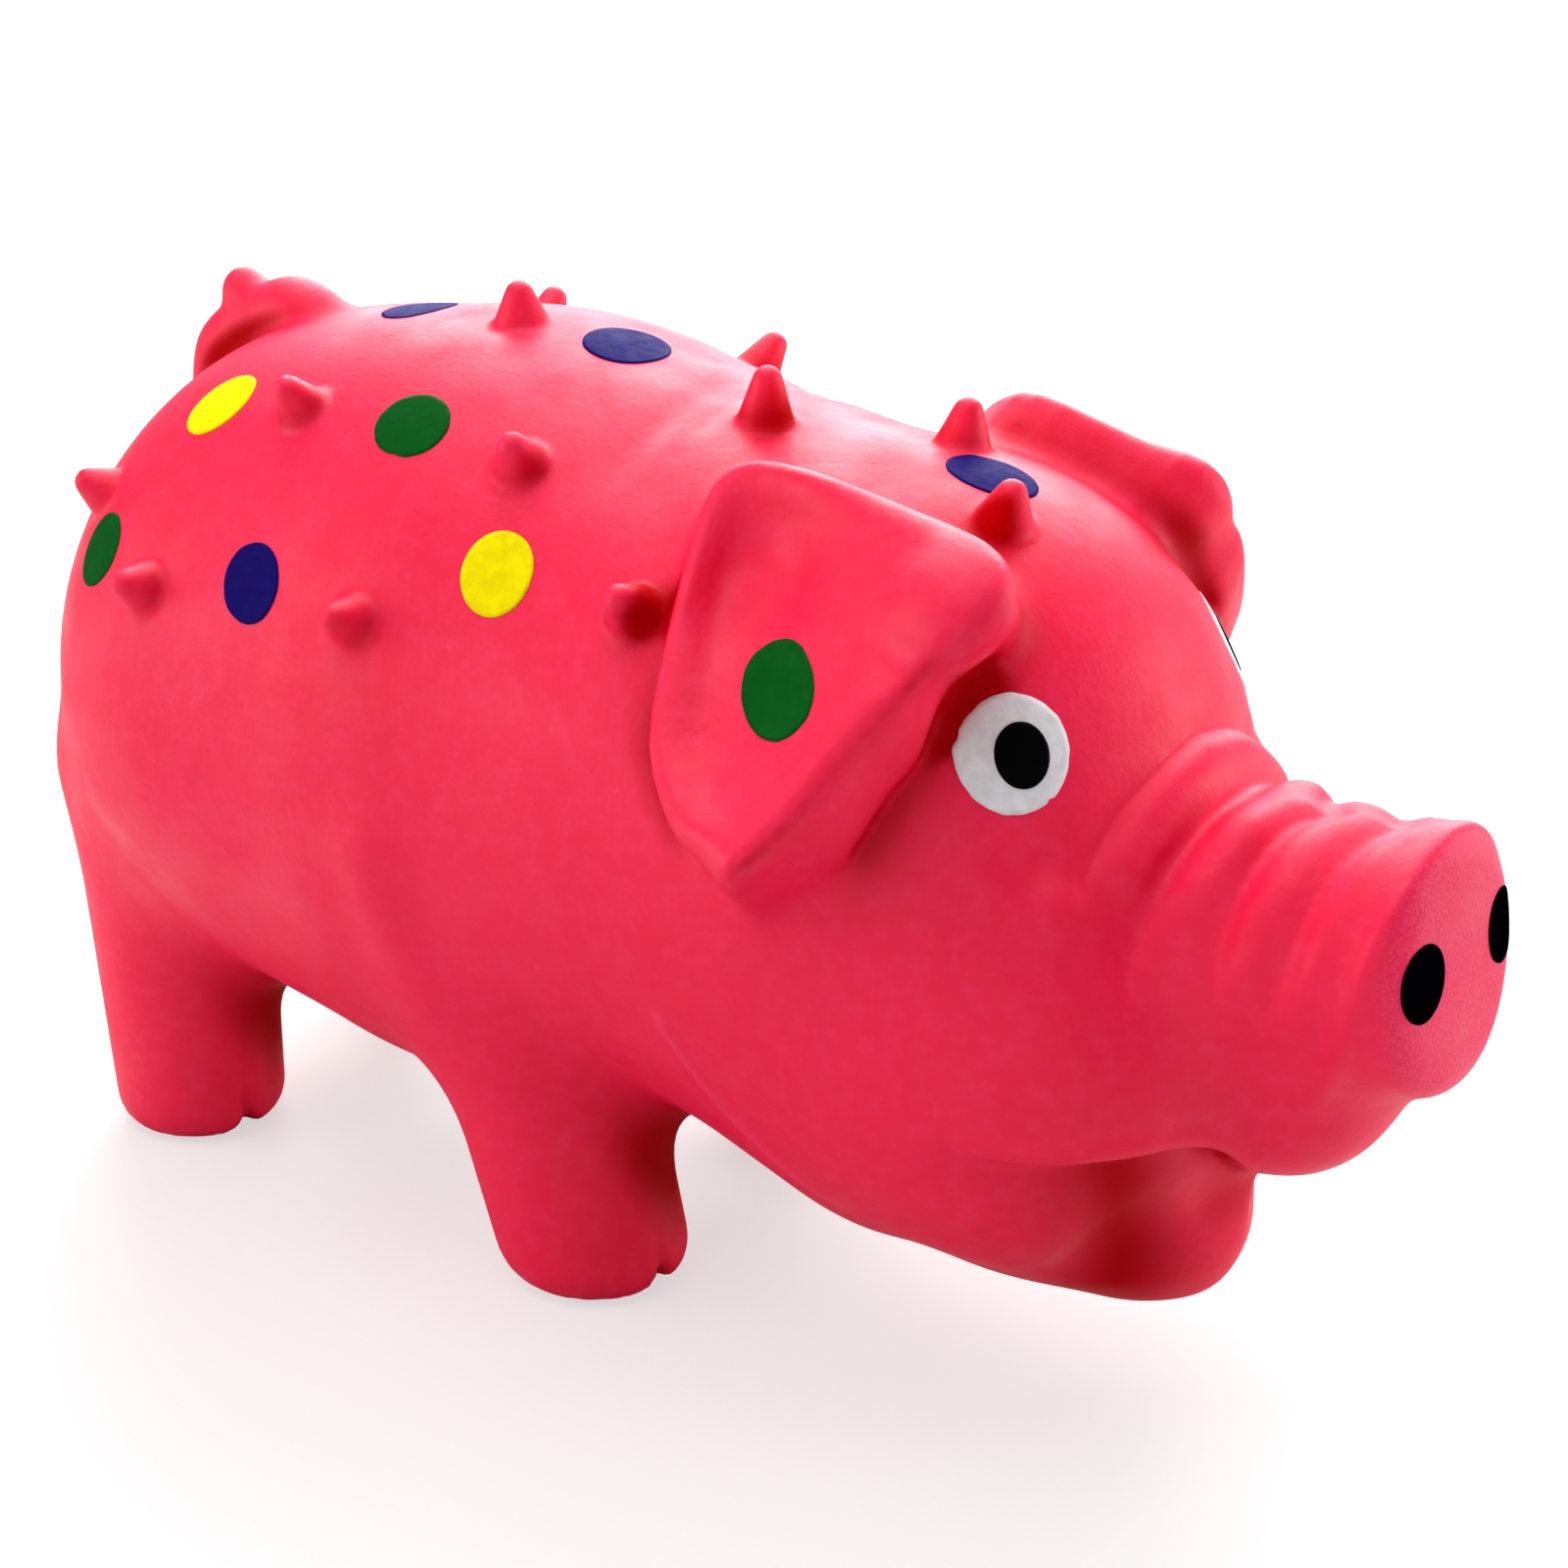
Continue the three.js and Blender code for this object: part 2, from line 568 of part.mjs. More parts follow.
addMarkPair('eye_white', eyeWhite, 'white', gap);
addMarkPair('eye_pupil', pupil, 'black', 2 * gap + film);
addMarkPair('nostril', nostril, 'black', gap);
for (const [name, mark] of Object.entries(sideSpots)) {
  addMarkPair(`spot_${name}`, mark, mark.colour, gap);
}
for (const [name, mark] of Object.entries(midSpots)) {
  addPiece(`spot_${name}`, paintMark(mark, gap, bodyPlaces(mark)), mark.colour);
}
const earMark = paintMark(earSpot, gap, earPlaces(earSpot));
addPiece('spot_ear_left', earMark, 'green');
addPiece('spot_ear_right', mirrored(earMark), 'green');

export default model;
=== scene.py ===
"""Squeaky pig dog toy: a stuffed latex skin with soft horns, painted marks and a squeaker in the belly.

Measures are millimetres and meshes are metres. +X is the snout, +Y the pig's left and +Z is up.
The soles stand on z = 0. Places with a mirrored twin are given on the pig's left, at +Y.
"""

import math

import bmesh
import bpy
import numpy as np
from bpy.props import FloatProperty, FloatVectorProperty, IntProperty, PointerProperty
from mathutils import Matrix, Vector


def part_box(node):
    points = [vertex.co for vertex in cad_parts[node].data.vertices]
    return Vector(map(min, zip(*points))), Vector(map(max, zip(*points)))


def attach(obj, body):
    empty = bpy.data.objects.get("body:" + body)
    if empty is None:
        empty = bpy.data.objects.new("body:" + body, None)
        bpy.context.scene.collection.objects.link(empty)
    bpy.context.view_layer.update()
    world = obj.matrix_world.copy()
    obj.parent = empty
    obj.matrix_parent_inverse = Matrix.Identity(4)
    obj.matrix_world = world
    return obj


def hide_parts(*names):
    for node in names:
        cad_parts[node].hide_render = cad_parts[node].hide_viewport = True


bl_info = {
    "name": "Squeaky Pig Dog Toy",
    "version": (1, 0, 0),
    "blender": (4, 5, 0),
    "location": "View3D > Sidebar > Pig Toy",
    "description": "Builds a stuffed latex pig dog toy on its packed frame",
    "category": "Add Mesh",
}

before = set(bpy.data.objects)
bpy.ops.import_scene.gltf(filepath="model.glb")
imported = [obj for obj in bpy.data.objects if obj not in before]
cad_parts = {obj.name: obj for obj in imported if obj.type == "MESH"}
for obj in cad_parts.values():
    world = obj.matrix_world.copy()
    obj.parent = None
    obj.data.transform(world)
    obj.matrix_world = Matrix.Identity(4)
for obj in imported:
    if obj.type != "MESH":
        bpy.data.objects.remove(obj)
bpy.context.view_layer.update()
MM = 0.001

# Masses of the moulding: centre, radii and how softly each one runs into the ones before it
TORSO = ((-33.6, 0, 68), (64, 48, 54))
MASSES = (
    ((-67.6, 0, 69), (37, 47, 46), 12),
    ((12.4, 0, 69), (43, 44, 45), 14),
    ((34.4, 0, 63), (38, 42, 50), 10),
)
CHEEK = ((55.4, 14, 46), (25, 22, 25), 14)
SNOUT = ((62.4, 0, 61), (98.4, 0, 66.5), (19.5, 16))
SNOUT_BLEND = 7
SNOUT_FACE = {"x": 103.9, "z": 70, "lean": 0.1, "dome": 90, "rounding": 3.5}
UPPER_LIP = ((81.4, 0, 46.5), (14.5, 13.5, 12), 10)
JAW = ((56.4, 0, 27.8), (23, 19, 19.3), 8)

# Legs: foot and hip centres, their radii, the height of the hip and the turn of the toes
REAR_LEG = ((-80.8, 24.9), (-86.6, 22), 12, 14, 53, 0.13)
FRONT_LEG = ((-5.7, 23), (-17.2, 24), 12.7, 14.4, 44, 0.05)
GROIN_BLEND = 10
SOLE_ROUNDING = 5
CLEFT_RADII = (3.4, 0.8, 11)
CLEFT_SHIFT = 1.2
CLEFT_BLEND = 1.2

# Ears: a dished flap in its own frame, along it, up it and out of its face
EAR_AT = (37.4, 37, 100)
EAR_OUT = (-0.04, 0.75, 0.66)
EAR_INWARD = (-0.3, -0.7, -0.6)
EAR_FLARE = 0.4
EAR_DEPTH = 18
EARS = {
    -1: {
        "outline": (
            (-22.6, 13), (-23, 18), (-20.8, 21.8), (-15, 23.3), (-1.6, 22.7), (11.6, 21.3), (17, 19.8), (20.6, 17),
            (21.6, 12.5), (18, 5), (15, -2), (12.3, -8), (9.4, -17), (5, -26), (-1, -24.3), (-7, -21.8),
            (-14.6, -14), (-19, -2), (-20.8, 5.5),
        ),
        "fold": ((14.5, 11.5, -2.8), (7, 6, 4.8)),
    },
    1: {
        "outline": (
            (-19, 14), (-14, 20.5), (-7, 23.5), (5, 18.5), (13.5, 13), (15.5, 2), (14, -6), (10.5, -17), (6, -25),
            (-5, -22), (-15, -12.5), (-19, 3),
        ),
        "fold": ((8.5, 8, -3.2), (6, 5.5, 4.6)),
    },
}
EAR_FLARE_LOW, EAR_FLARE_HIGH = (-27, -16), (-6, 6)
EAR_DISHES = (((-5, -7), (10, 13), 3.2), ((-12, 8.5), (8.5, 9), 6.6))
EAR_LEDGE = (0.8, 6.5)
EAR_FOLD_PIT = ((12.5, 4.5), 4.5, 0.8)
EAR_ROUNDING = (2.2, 4.6)
EAR_ROUNDING_ALONG = (-12, 8)
EAR_FOLD_BLEND = 4
EAR_BLEND = 3
EAR_SPAN = 34

# Crease between an ear and the head: route, depth, width, and where it fades in and out
EAR_CREASE = (
    (52.4, 17.5, 101.5), (52.2, 21, 99.5), (51.9, 24.1, 96.9), (51.5, 27.6, 93.3), (50.4, 30.8, 89.8),
    (48.7, 34.3, 85), (46.3, 37.7, 79.1), (43.1, 40, 74.7),
)
EAR_CREASE_DEPTH = 1.3
EAR_CREASE_WIDTH = 2.2
EAR_CREASE_START, EAR_CREASE_END = (0, 0.15), (0.8, 1)

# Soft horns: root and height
HORN_RADII = (3.8, 1.9)
HORN_BLEND = 0.9
HORN_SPAN = 14
HORNS_ON_BOTH_SIDES = (
    (-82, 33.3, 96.9, 4.9), (-64.2, 43.6, 89.6, 5.2), (-27.3, 42.6, 92.4, 5.4), (10.8, 33.8, 99.1, 6),
)
SINGLE_HORNS = (
    (-51, -25.8, 111.7, 5.8), (-13.8, -25.5, 110.7, 5.8), (-32.5, -3.8, 121.8, 5.6), (8, -4.6, 115.2, 7.4),
    (45, -7.4, 110, 6), (-54.9, 25.9, 111.7, 6.8), (-19.5, 29.3, 110.2, 7.2), (30.4, 5.5, 113.2, 6.2),
)

# Tail: a roll of one radius along its route, with a knob
TAIL_ROUTE = (
    (-67, 0, 111), (-75.3, -1, 116), (-80.6, -1, 115.4), (-86, -1, 112.8), (-91, -1, 108.8), (-92.6, -1, 102.5),
)
TAIL_RADIUS = 4.8
TAIL_BLEND = 1.8
TAIL_KNOB = ((-87.2, -1, 118), (3.1, 3.1, 3.1))
TAIL_KNOB_BLEND = 2.5

# Folds over the snout and the neck, steeper in front: route down each side from the middle, depth and half width
FOLDS = (
    (((67.9, 0, 86.8), (67.8, 7.8, 85.1), (66.9, 15.1, 81.8), (66.6, 21.9, 75.6), (66.7, 25, 71.5)), 1.1, 4.4),
    (((75.2, 0, 81.6), (74.3, 7, 80.1), (73, 15.2, 74.9), (72.6, 19.9, 69.5), (73.2, 22.7, 64.6), (74, 24, 60)),
     1.5, 4.6),
    (((86.5, 0, 81.8), (83.5, 5, 81), (82.3, 12, 76.7), (81.3, 16.1, 71), (81.4, 17.6, 66), (82, 18.5, 61)),
     2.0, 4.6),
    (((94.7, 0, 82.3), (92, 7.4, 80.3), (90.3, 14.5, 73.6), (89.2, 16.8, 67), (87.4, 17, 61), (86.5, 17.5, 57)),
     2.0, 4.6),
    (((-3, 0, 117), (-2.1, 9.6, 116.1), (-1.7, 19.7, 112.2), (0.7, 28.3, 106.1)), 0.8, 6),
    (((0.6, 0, 116.8), (2.8, 13.8, 114.1), (5.2, 24.5, 108.5), (5.9, 29, 104.8)), 0.8, 6),
)
FOLD_STEEPER = 0.7
FOLD_END = (0.65, 1)
SNOUT_FOLDS = 4

# Mouth: line, depth of the step under it, the step's way down, and where it starts and ends along and across
MOUTH_LINE = (
    (57.5, 38.6, 48.2), (59.9, 38, 46.6), (63.1, 36.7, 44.9), (69.2, 33.7, 44.2), (75.2, 28.6, 44.6),
    (79.6, 20.7, 44.2), (82.4, 13.9, 41.5), (82, 6, 36.5), (81.5, 0, 35.5),
)
MOUTH_DEPTH = 3.5
LIP_DOWN = (-0.45, 0, -0.89)
LIP_ROLL = {"height": 0.5, "above": 1.4, "width": 1.2}
MOUTH_START, MOUTH_END = (0, 0.3), (0.68, 0.9)
MOUTH_REACH, MOUTH_SPAN = 7, 30
MOUTH_STEP = (-0.8, 1.8)

# Valley in the open mouth: route, depth and width
VALLEY = (
    ((76.6, 26.6, 43.3), (76.6, 24.8, 38.6), (75.2, 22.2, 32.9), (71.5, 16.5, 24.2), (68.6, 13.6, 18.3)), 4.2, 6.5,
)
VALLEY_END = (0.7, 1)
VALLEY_STEP = (-0.5, 3)

# Soft ridges: rolls of the snout, the disc's rim, seams of the throat and the ridge behind the shoulder
SEAM = (
    (20.3, 41.6, 51.4), (22.9, 39.6, 45.7), (26.4, 36.8, 39.2), (30.7, 35, 34.6), (34.8, 33.9, 31.6), (41, 33, 29.5),
)
RIDGES = (
    (((71.6, 0, 86), (71, 8, 84), (70, 15, 79), (69.5, 21.5, 72.5)), 1.5, 3.4),
    (((81, 0, 82.2), (79, 8, 79.8), (77.4, 15, 74), (77, 18, 70.5)), 0.5, 3.4),
    (((100.2, 0, 82), (100.3, 7, 80.2), (99.4, 13.8, 74.4), (98.3, 16, 67.4), (96.8, 15.4, 61), (94, 13, 53.5),
      (91.5, 11.5, 47)), 0.8, 1.5),
    (SEAM, 0.6, 0.9),
    (((-23.4, 47.2, 63.3), (-21.2, 46, 53.8), (-19.6, 44.8, 46.5), (-17.6, 43, 39.8), (-15.5, 41.2, 32.9)), 1.3, 4.5),
)
RIDGE_END = (0.75, 1)

# Local corrections on both sides: place, height and reach
SWELLS = (
    ((76, 6, 29), -2.0, 7), ((74, 0, 14.5), 1.2, 6), ((58, 8, 12.5), -1.8, 8), ((49, 24, 22), -1.1, 8),
    ((62, 24.4, 78), -1.2, 4), ((66, 26, 73), 0.9, 4), ((79.5, 8, 80), 0.9, 4),
)

# Finer mesh: the most points, where the head starts, and how far it reaches round each form
SKIN_POINTS = 100000
HEAD_X, HEAD_Z, EAR_Y = 56, 12, 17
FINER = {"ear": 26, "tail": 8, "seam": 2.5, "toe": 9, "horn": 8, "mouth": 4, "fold": 1.6, "ear_edge": 2.2}

# Colour of the skin: painted shade in hollows, with the reach and weight of each look outwards for them, and how the
# painted shade follows those and other forms, such as the open mouth and the ears' creases; the pale seam, and the
# snout's disc with its speckles and painted sheen
HOLLOW_REACHES = ((4, 0.3), (10, 0.35), (22, 0.35))
HOLLOW_SMOOTHING = 8
HOLLOW_RANGE = (0.16, 0.55)
# Less painted shade on the snout; painted shade in the open mouth and along the crease under each ear
SNOUT_LESS_SHADE, SNOUT_LESS_SHADE_X, SNOUT_LESS_SHADE_Z = 0.45, (62, 68), (50, 58)
VALLEY_SHADE, VALLEY_SHADE_WIDTH, VALLEY_SHADE_TOP, VALLEY_SPAN = 0.95, 9, (42, 44), 20
CREASE_SHADE, CREASE_SHADE_WIDTH = 0.8, 4
SEAM_PALE_WIDTH = 1.1
DISC_EDGE, DISC_LOW = (-3, -0.5), (44, 52)

# Stuffing: how far it lies inside the skin, its lumps and the room over the squeaker's plastic pieces
WADDING_INSET = 3.2
LUMP_HEIGHT = 0.5
POCKET_GAP, POCKET_HEIGHT, POCKET_BLEND = 0.5, 23, 2
PLASTIC_PIECES = ("squeaker_housing", "squeaker_grille", "reed_plate", "retaining_ring", "reed_clamp")

# Painted marks


def mark(at, size, turn=0, colour=None, nicks=()):
    """A mark's centre, size, turn on the skin, colour and nicks: angle, depth and width."""
    return {"at": at, "size": size, "turn": turn, "colour": colour, "nicks": nicks}


EYE_WHITE = mark((58.1, 24.3, 89.6), (13.9, 13.9), nicks=((2.75, 0.05, 0.07), (-0.95, 0.05, 0.05)))
PUPIL = mark((58.8, 23.6, 89.3), (6.5, 7.7))
NOSTRIL = mark((103.5, 9.9, 68.4), (8.4, 9.2), 0.2)
SIDE_SPOTS = {
    "rump_top": mark((-66.9, 25.6, 110), (9.5, 11.2), 0.1, "yellow"),
    "back": mark((-31.4, 26.2, 113.2), (11.4, 9.8), 0.3, "green", ((-1.3, 0.06, 0.2),)),
    "rump_side": mark((-76.8, 39.7, 91.5), (9.5, 10.5), 0, "green"),
    "flank": mark((-45.8, 41.7, 93.5), (9.5, 10.7), -0.45, "blue"),
    "shoulder": mark((-9.6, 35.2, 100.3), (9.9, 11.2), -0.25, "yellow"),
    "ear": mark((35.2, 37.3, 95.7), (10.3, 15), -1.05, "green", ((-1.6, 0.04, 0.5),)),
}
MIDDLE_SPOTS = {
    "rump": mark((-54.3, 0, 119.7), (11, 10), 0, "blue"),
    "spine": mark((-17.8, 0, 120.3), (12.2, 11.2), 0, "blue"),
    "forehead": mark((38.6, 0, 113.1), (9.5, 12.3), 0, "blue"),
}
SPOT_FRAY = 0.02
FILM_THICKNESS = 0.0003
PUPIL_LIFT = 2.2
EYE_SEED, PUPIL_SEED, NOSTRIL_SEED, MIDDLE_SEED, SIDE_SEED = 11, 31, 51, 70, 90
SIDES = (("left", 1), ("right", -1))

# Stage: what the camera looks at, the lamps' places, widths and powers, and the light from all round
TARGET = (0.0074, 0, 0.0654)
LAMPS = {
    "top": ((-0.1, -0.1, 1.0), 0.9, 6.0),
    "back": ((-0.45, 0.85, 0.75), 1.2, 34.0),
    "side": ((-0.9, -0.85, 0.3), 0.9, 7.5),
    "fill": ((0.6, -1.0, 0.15), 0.9, 2.1),
    "front": ((0.8, 0.85, 0.22), 0.7, 7.0),
}
WORLD_LIGHT = 0.28
FLOOR_RADIUS = 6


# Form of the moulding: distances in millimetres, negative inside, for many points at once


def size_of(vectors):
    return np.sqrt((vectors * vectors).sum(-1))


def to_ball(points, at, radii):
    scaled = (points - np.array(at, float)) / np.array(radii, float)
    near = size_of(scaled)
    return near * (near - 1) / (size_of(scaled / np.array(radii, float)) + 1e-9)


def to_cone(points, base, end, radii):
    base, end = np.array(base, float), np.array(end, float)
    axis = end - base
    share = np.clip((points - base) @ axis / (axis @ axis), 0, 1)
    across = size_of(points - base - share[:, None] * axis)
    return across - radii[0] - (radii[1] - radii[0]) * share


def to_round_cone(points, base, end, radii):
    """A cone that runs smoothly into the ball at each of its ends."""
    axis = np.array(end, float) - base
    length = size_of(axis)
    up = (points - base) @ axis / length
    out = size_of(points - base - (up / length)[:, None] * axis)
    taper = (radii[0] - radii[1]) / length
    lean = math.sqrt(1 - taper * taper)
    part = up * lean - out * taper
    side = out * lean + up * taper - radii[0]
    ball = np.where(part < 0, np.hypot(out, up) - radii[0], np.hypot(out, up - length) - radii[1])
    return np.where((part >= 0) & (part <= lean * length), side, ball)


def join(a, b, blend):
    overlap = np.maximum(blend - np.abs(a - b), 0) / blend
    return np.minimum(a, b) - overlap * overlap * blend / 4


def cut(a, b, blend):
    return -join(-a, b, blend)


def ramp(low, high, value):
    share = np.clip((value - low) / (high - low), 0, 1)
    return share * share * (3 - 2 * share)


def bell(distance, width):
    return np.exp(-((distance / width) ** 2))


def folded_over(points):
    """Every point on the pig's left."""
    return points * (1, 0, 1) + np.abs(points) * (0, 1, 0)


def on_left(points, ease=2.0):
    """Every point on the pig's left, with a soft turn at the middle so that no crease forms there."""
    folded = points.copy()
    folded[:, 1] = np.sqrt(points[:, 1] ** 2 + ease**2) - 0.6 * ease
    return folded


def smooth_route(corners, steps=5):
    """Route through its corners as a smooth curve, with the end corners doubled."""
    corners = np.array(corners, float)
    padded = np.vstack([2 * corners[0] - corners[1], corners, 2 * corners[-1] - corners[-2]])
    route = []
    for k in range(len(corners) - 1):
        a, b, c, d = padded[k : k + 4]
        for t in np.arange(steps) / steps:
            route.append(
                0.5 * (2 * b + (c - a) * t + (2 * a - 5 * b + 4 * c - d) * t**2 + (3 * b - a - 3 * c + d) * t**3)
            )
    return np.array([*route, corners[-1]])


def near_route(points, route):
    """Distance to a route, the share of its length there, and the way from it to each point."""
    lengths = size_of(np.diff(route, axis=0))
    before = np.concatenate([[0], np.cumsum(lengths)])
    best = np.full(len(points), 1e9)
    share = np.zeros(len(points))
    away = np.zeros_like(points)
    for k, length in enumerate(lengths):
        axis = route[k + 1] - route[k]
        t = np.clip((points - route[k]) @ axis / (length * length), 0, 1)
        offset = points - route[k] - t[:, None] * axis
        distance = size_of(offset)
        closer = distance < best
        best = np.where(closer, distance, best)
        share = np.where(closer, (before[k] + t * length) / before[-1], share)
        away = np.where(closer[:, None], offset, away)
    return best, share, away


def around(points, places, reach):
    """Which points lie within reach of the box round some places."""
    places = np.array(places, float).reshape(-1, 3)
    return np.all((points > places.min(0) - reach) & (points < places.max(0) + reach), axis=1)


def past_face(points):
    """How far points lie in front of the snout's domed disc."""
    lean = SNOUT_FACE["lean"] * (SNOUT_FACE["z"] - points[:, 2])
    return points[:, 0] - SNOUT_FACE["x"] - lean + points[:, 1] ** 2 / (2 * SNOUT_FACE["dome"])


def to_body(points):
    left = on_left(points)
    body = to_ball(points, *TORSO)
    for at, radii, blend in MASSES:
        body = join(body, to_ball(points, at, radii), blend)
    body = join(body, to_ball(left, *CHEEK[:2]), CHEEK[2])
    nose = cut(to_cone(points, *SNOUT), -past_face(points), SNOUT_FACE["rounding"])
    nose = join(nose, to_ball(points, *UPPER_LIP[:2]), UPPER_LIP[2])
    body = join(body, nose, SNOUT_BLEND)
    return join(body, to_ball(points, *JAW[:2]), JAW[2])


def way_out(form, points):
    """The way out of a form at many points, and how far along it each point lies from the form."""
    step = 0.05
    corners = np.array([(1, -1, -1), (-1, -1, 1), (-1, 1, -1), (1, 1, 1)], float)
    values = [form(points + corner * step) for corner in corners]
    slope = sum(value[:, None] * corner for value, corner in zip(values, corners)) / (4 * step)
    steepness = size_of(slope)
    return slope / (steepness[:, None] + 1e-12), sum(values) / 4 / np.maximum(steepness, 1)


def onto(form, points, height=0.0, steps=6, most=2.0):
    """Points moved to lie at a height over a form, and the way out there."""
    for _ in range(steps):
        out, value = way_out(form, points)
        points = points - out * np.clip(value - height, -most, most)[:, None]
    return points, out


def on_body(corners):
    """Smooth route laid on the bare body."""
    return onto(to_body, smooth_route(corners))[0]


FOLD_ROUTES = [(on_body(corners), depth, width) for corners, depth, width in FOLDS]
RIDGE_ROUTES = [(on_body(corners), height, width) for corners, height, width in RIDGES]
SEAM_ROUTE = on_body(SEAM)
MOUTH_ROUTE = on_body(MOUTH_LINE)
VALLEY_ROUTE = on_body(VALLEY[0])
CREASE_ROUTE = smooth_route(EAR_CREASE)
TAIL_CURVE = smooth_route(TAIL_ROUTE, 8)


def relief(points):
    """How far the folds, ridges, swells and the mouth raise the skin of the body."""
    left = folded_over(points)
    raised = np.zeros(len(points))
    for route, depth, width in FOLD_ROUTES:
        near = around(left, route, width)
        distance, share, away = near_route(left[near], route)
        groove = np.maximum(1 - distance / np.where(away[:, 0] < 0, width, FOLD_STEEPER * width), 0) ** 2
        raised[near] -= depth * groove * (1 - ramp(*FOLD_END, share))
    for route, height, width in RIDGE_ROUTES:
        near = around(left, route, 2.5 * width)
        distance, share, _ = near_route(left[near], route)
        raised[near] += height * bell(distance, width) * (1 - ramp(*RIDGE_END, share))
    for place, height, reach in SWELLS:
        raised += height * bell(size_of(left - np.array(place, float)), reach)
    near = around(left, MOUTH_ROUTE, MOUTH_SPAN)
    distance, share, away = near_route(left[near], MOUTH_ROUTE)
    below = away @ LIP_DOWN
    fade = ramp(*MOUTH_START, share) * (1 - ramp(*MOUTH_END, share)) * bell(distance, MOUTH_REACH)
    raised[near] += fade * LIP_ROLL["height"] * bell(below + LIP_ROLL["above"], LIP_ROLL["width"])
    raised[near] -= fade * MOUTH_DEPTH * ramp(*MOUTH_STEP, below)
    across, along, _ = near_route(left[near], VALLEY_ROUTE)
    _, depth, width = VALLEY
    raised[near] -= depth * bell(across, width) * (1 - ramp(*VALLEY_END, along)) * ramp(*VALLEY_STEP, below)
    return raised


def to_leg(left, leg):
    """Distance to a leg, as on the left: a tapered shaft with a cleft between its toes."""
    foot, hip, foot_radius, hip_radius, hip_height, turn = leg
    share = np.clip(left[:, 2] / hip_height, 0, 1)
    x = foot[0] + (hip[0] - foot[0]) * share
    y = foot[1] + (hip[1] - foot[1]) * share
    over = np.maximum(left[:, 2] - hip_height, 0)
    across = np.sqrt((left[:, 0] - x) ** 2 + (left[:, 1] - y) ** 2 + over**2)
    shaft = across - foot_radius - (hip_radius - foot_radius) * share
    x, y, z = (left - (*foot, 0)).T
    cos, sin = math.cos(turn), math.sin(turn)
    toes = np.stack([x * cos + y * sin, y * cos - x * sin, z], axis=1)
    return cut(shaft, to_ball(toes, (foot_radius + CLEFT_SHIFT, 0, 0), CLEFT_RADII), CLEFT_BLEND)


def ear_axes():
    out = np.array(EAR_OUT) / size_of(np.array(EAR_OUT))
    along = np.cross(out, (0, 0, 1))
    along /= size_of(along)
    return along, np.cross(along, out), out


EAR_ALONG, EAR_UP, EAR_FACE = ear_axes()


def ear_places(flat):
    """Places in the frame of the left ear, as places of the toy."""
    return [np.array(EAR_AT) + EAR_ALONG * u + EAR_UP * v + EAR_FACE * h for u, v, h in flat]


for ear in EARS.values():
    corners = [(x, y, 0) for x, y in ear["outline"]]
    ear["rim"] = smooth_route([*corners, corners[0]], 3)


def near_ear_edge(points):
    """Which points lie close to the edge of an ear's face."""
    near = np.zeros(len(points), bool)
    for side, ear in EARS.items():
        rim = np.array([(x, y * side, z) for x, y, z in ear_places(ear["rim"])])
        near |= near_route(points, rim)[0] < FINER["ear_edge"]
    return near


def to_ear(left, ear):
    """Distance to an ear, as on the left: a slanted flap with a soft rim, a dish and a fold at its front corner."""
    offset = left - np.array(EAR_AT)
    height = offset @ EAR_FACE
    inward = np.array(EAR_INWARD)
    up = offset @ EAR_UP
    flare = EAR_FLARE * (1 - ramp(*EAR_FLARE_HIGH, up)) * ramp(*EAR_FLARE_LOW, up)
    slid = offset - (height / (inward @ EAR_FACE))[:, None] * (inward + flare[:, None] * (1, 0, 0))
    flat = np.stack([slid @ EAR_ALONG, slid @ EAR_UP, np.zeros(len(left))], axis=1)
    rim = ear["rim"]
    distance, _, _ = near_route(flat, rim)
    inside = np.zeros(len(left), bool)
    for a, b in zip(rim[:-1], rim[1:]):
        crosses = (a[1] > flat[:, 1]) != (b[1] > flat[:, 1])
        rise = b[1] - a[1] if abs(b[1] - a[1]) > 1e-9 else 1e-9
        inside ^= crosses & (flat[:, 0] < a[0] + (b[0] - a[0]) * (flat[:, 1] - a[1]) / rise)
    side = np.where(inside, -distance, distance)
    face = np.zeros(len(left))
    for at, radii, depth in EAR_DISHES:
        dish = size_of((flat[:, :2] - at) / radii)
        face -= depth * bell(dish, 1) * ramp(*EAR_LEDGE, distance)
    at, reach, depth = EAR_FOLD_PIT
    face -= depth * bell(size_of(flat[:, :2] - at), reach)
    rear_rounding, front_rounding = EAR_ROUNDING
    rounding = rear_rounding + (front_rounding - rear_rounding) * ramp(*EAR_ROUNDING_ALONG, flat[:, 0])
    flap = cut(side, face - height, rounding)
    flap = np.maximum(flap, -height - EAR_DEPTH)
    own = np.stack([offset @ EAR_ALONG, offset @ EAR_UP, height], axis=1)
    return join(flap, to_ball(own, *ear["fold"]), EAR_FOLD_BLEND)


def horn_axes():
    """Root, way out and height of every horn."""
    both = [(x, y * side, z, height) for x, y, z, height in HORNS_ON_BOTH_SIDES for side in (1, -1)]
    horns = np.array([*both, *SINGLE_HORNS], float)
    roots, ways = onto(to_body, horns[:, :3], steps=10)
    return list(zip(roots, ways, horns[:, 3]))


HORNS = horn_axes()
HOUSING_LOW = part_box("squeaker_housing")[0].z / MM
BOSS = {"x": -42.6, "radius": 15, "low": HOUSING_LOW + 1.7, "height": 8, "blend": 1}


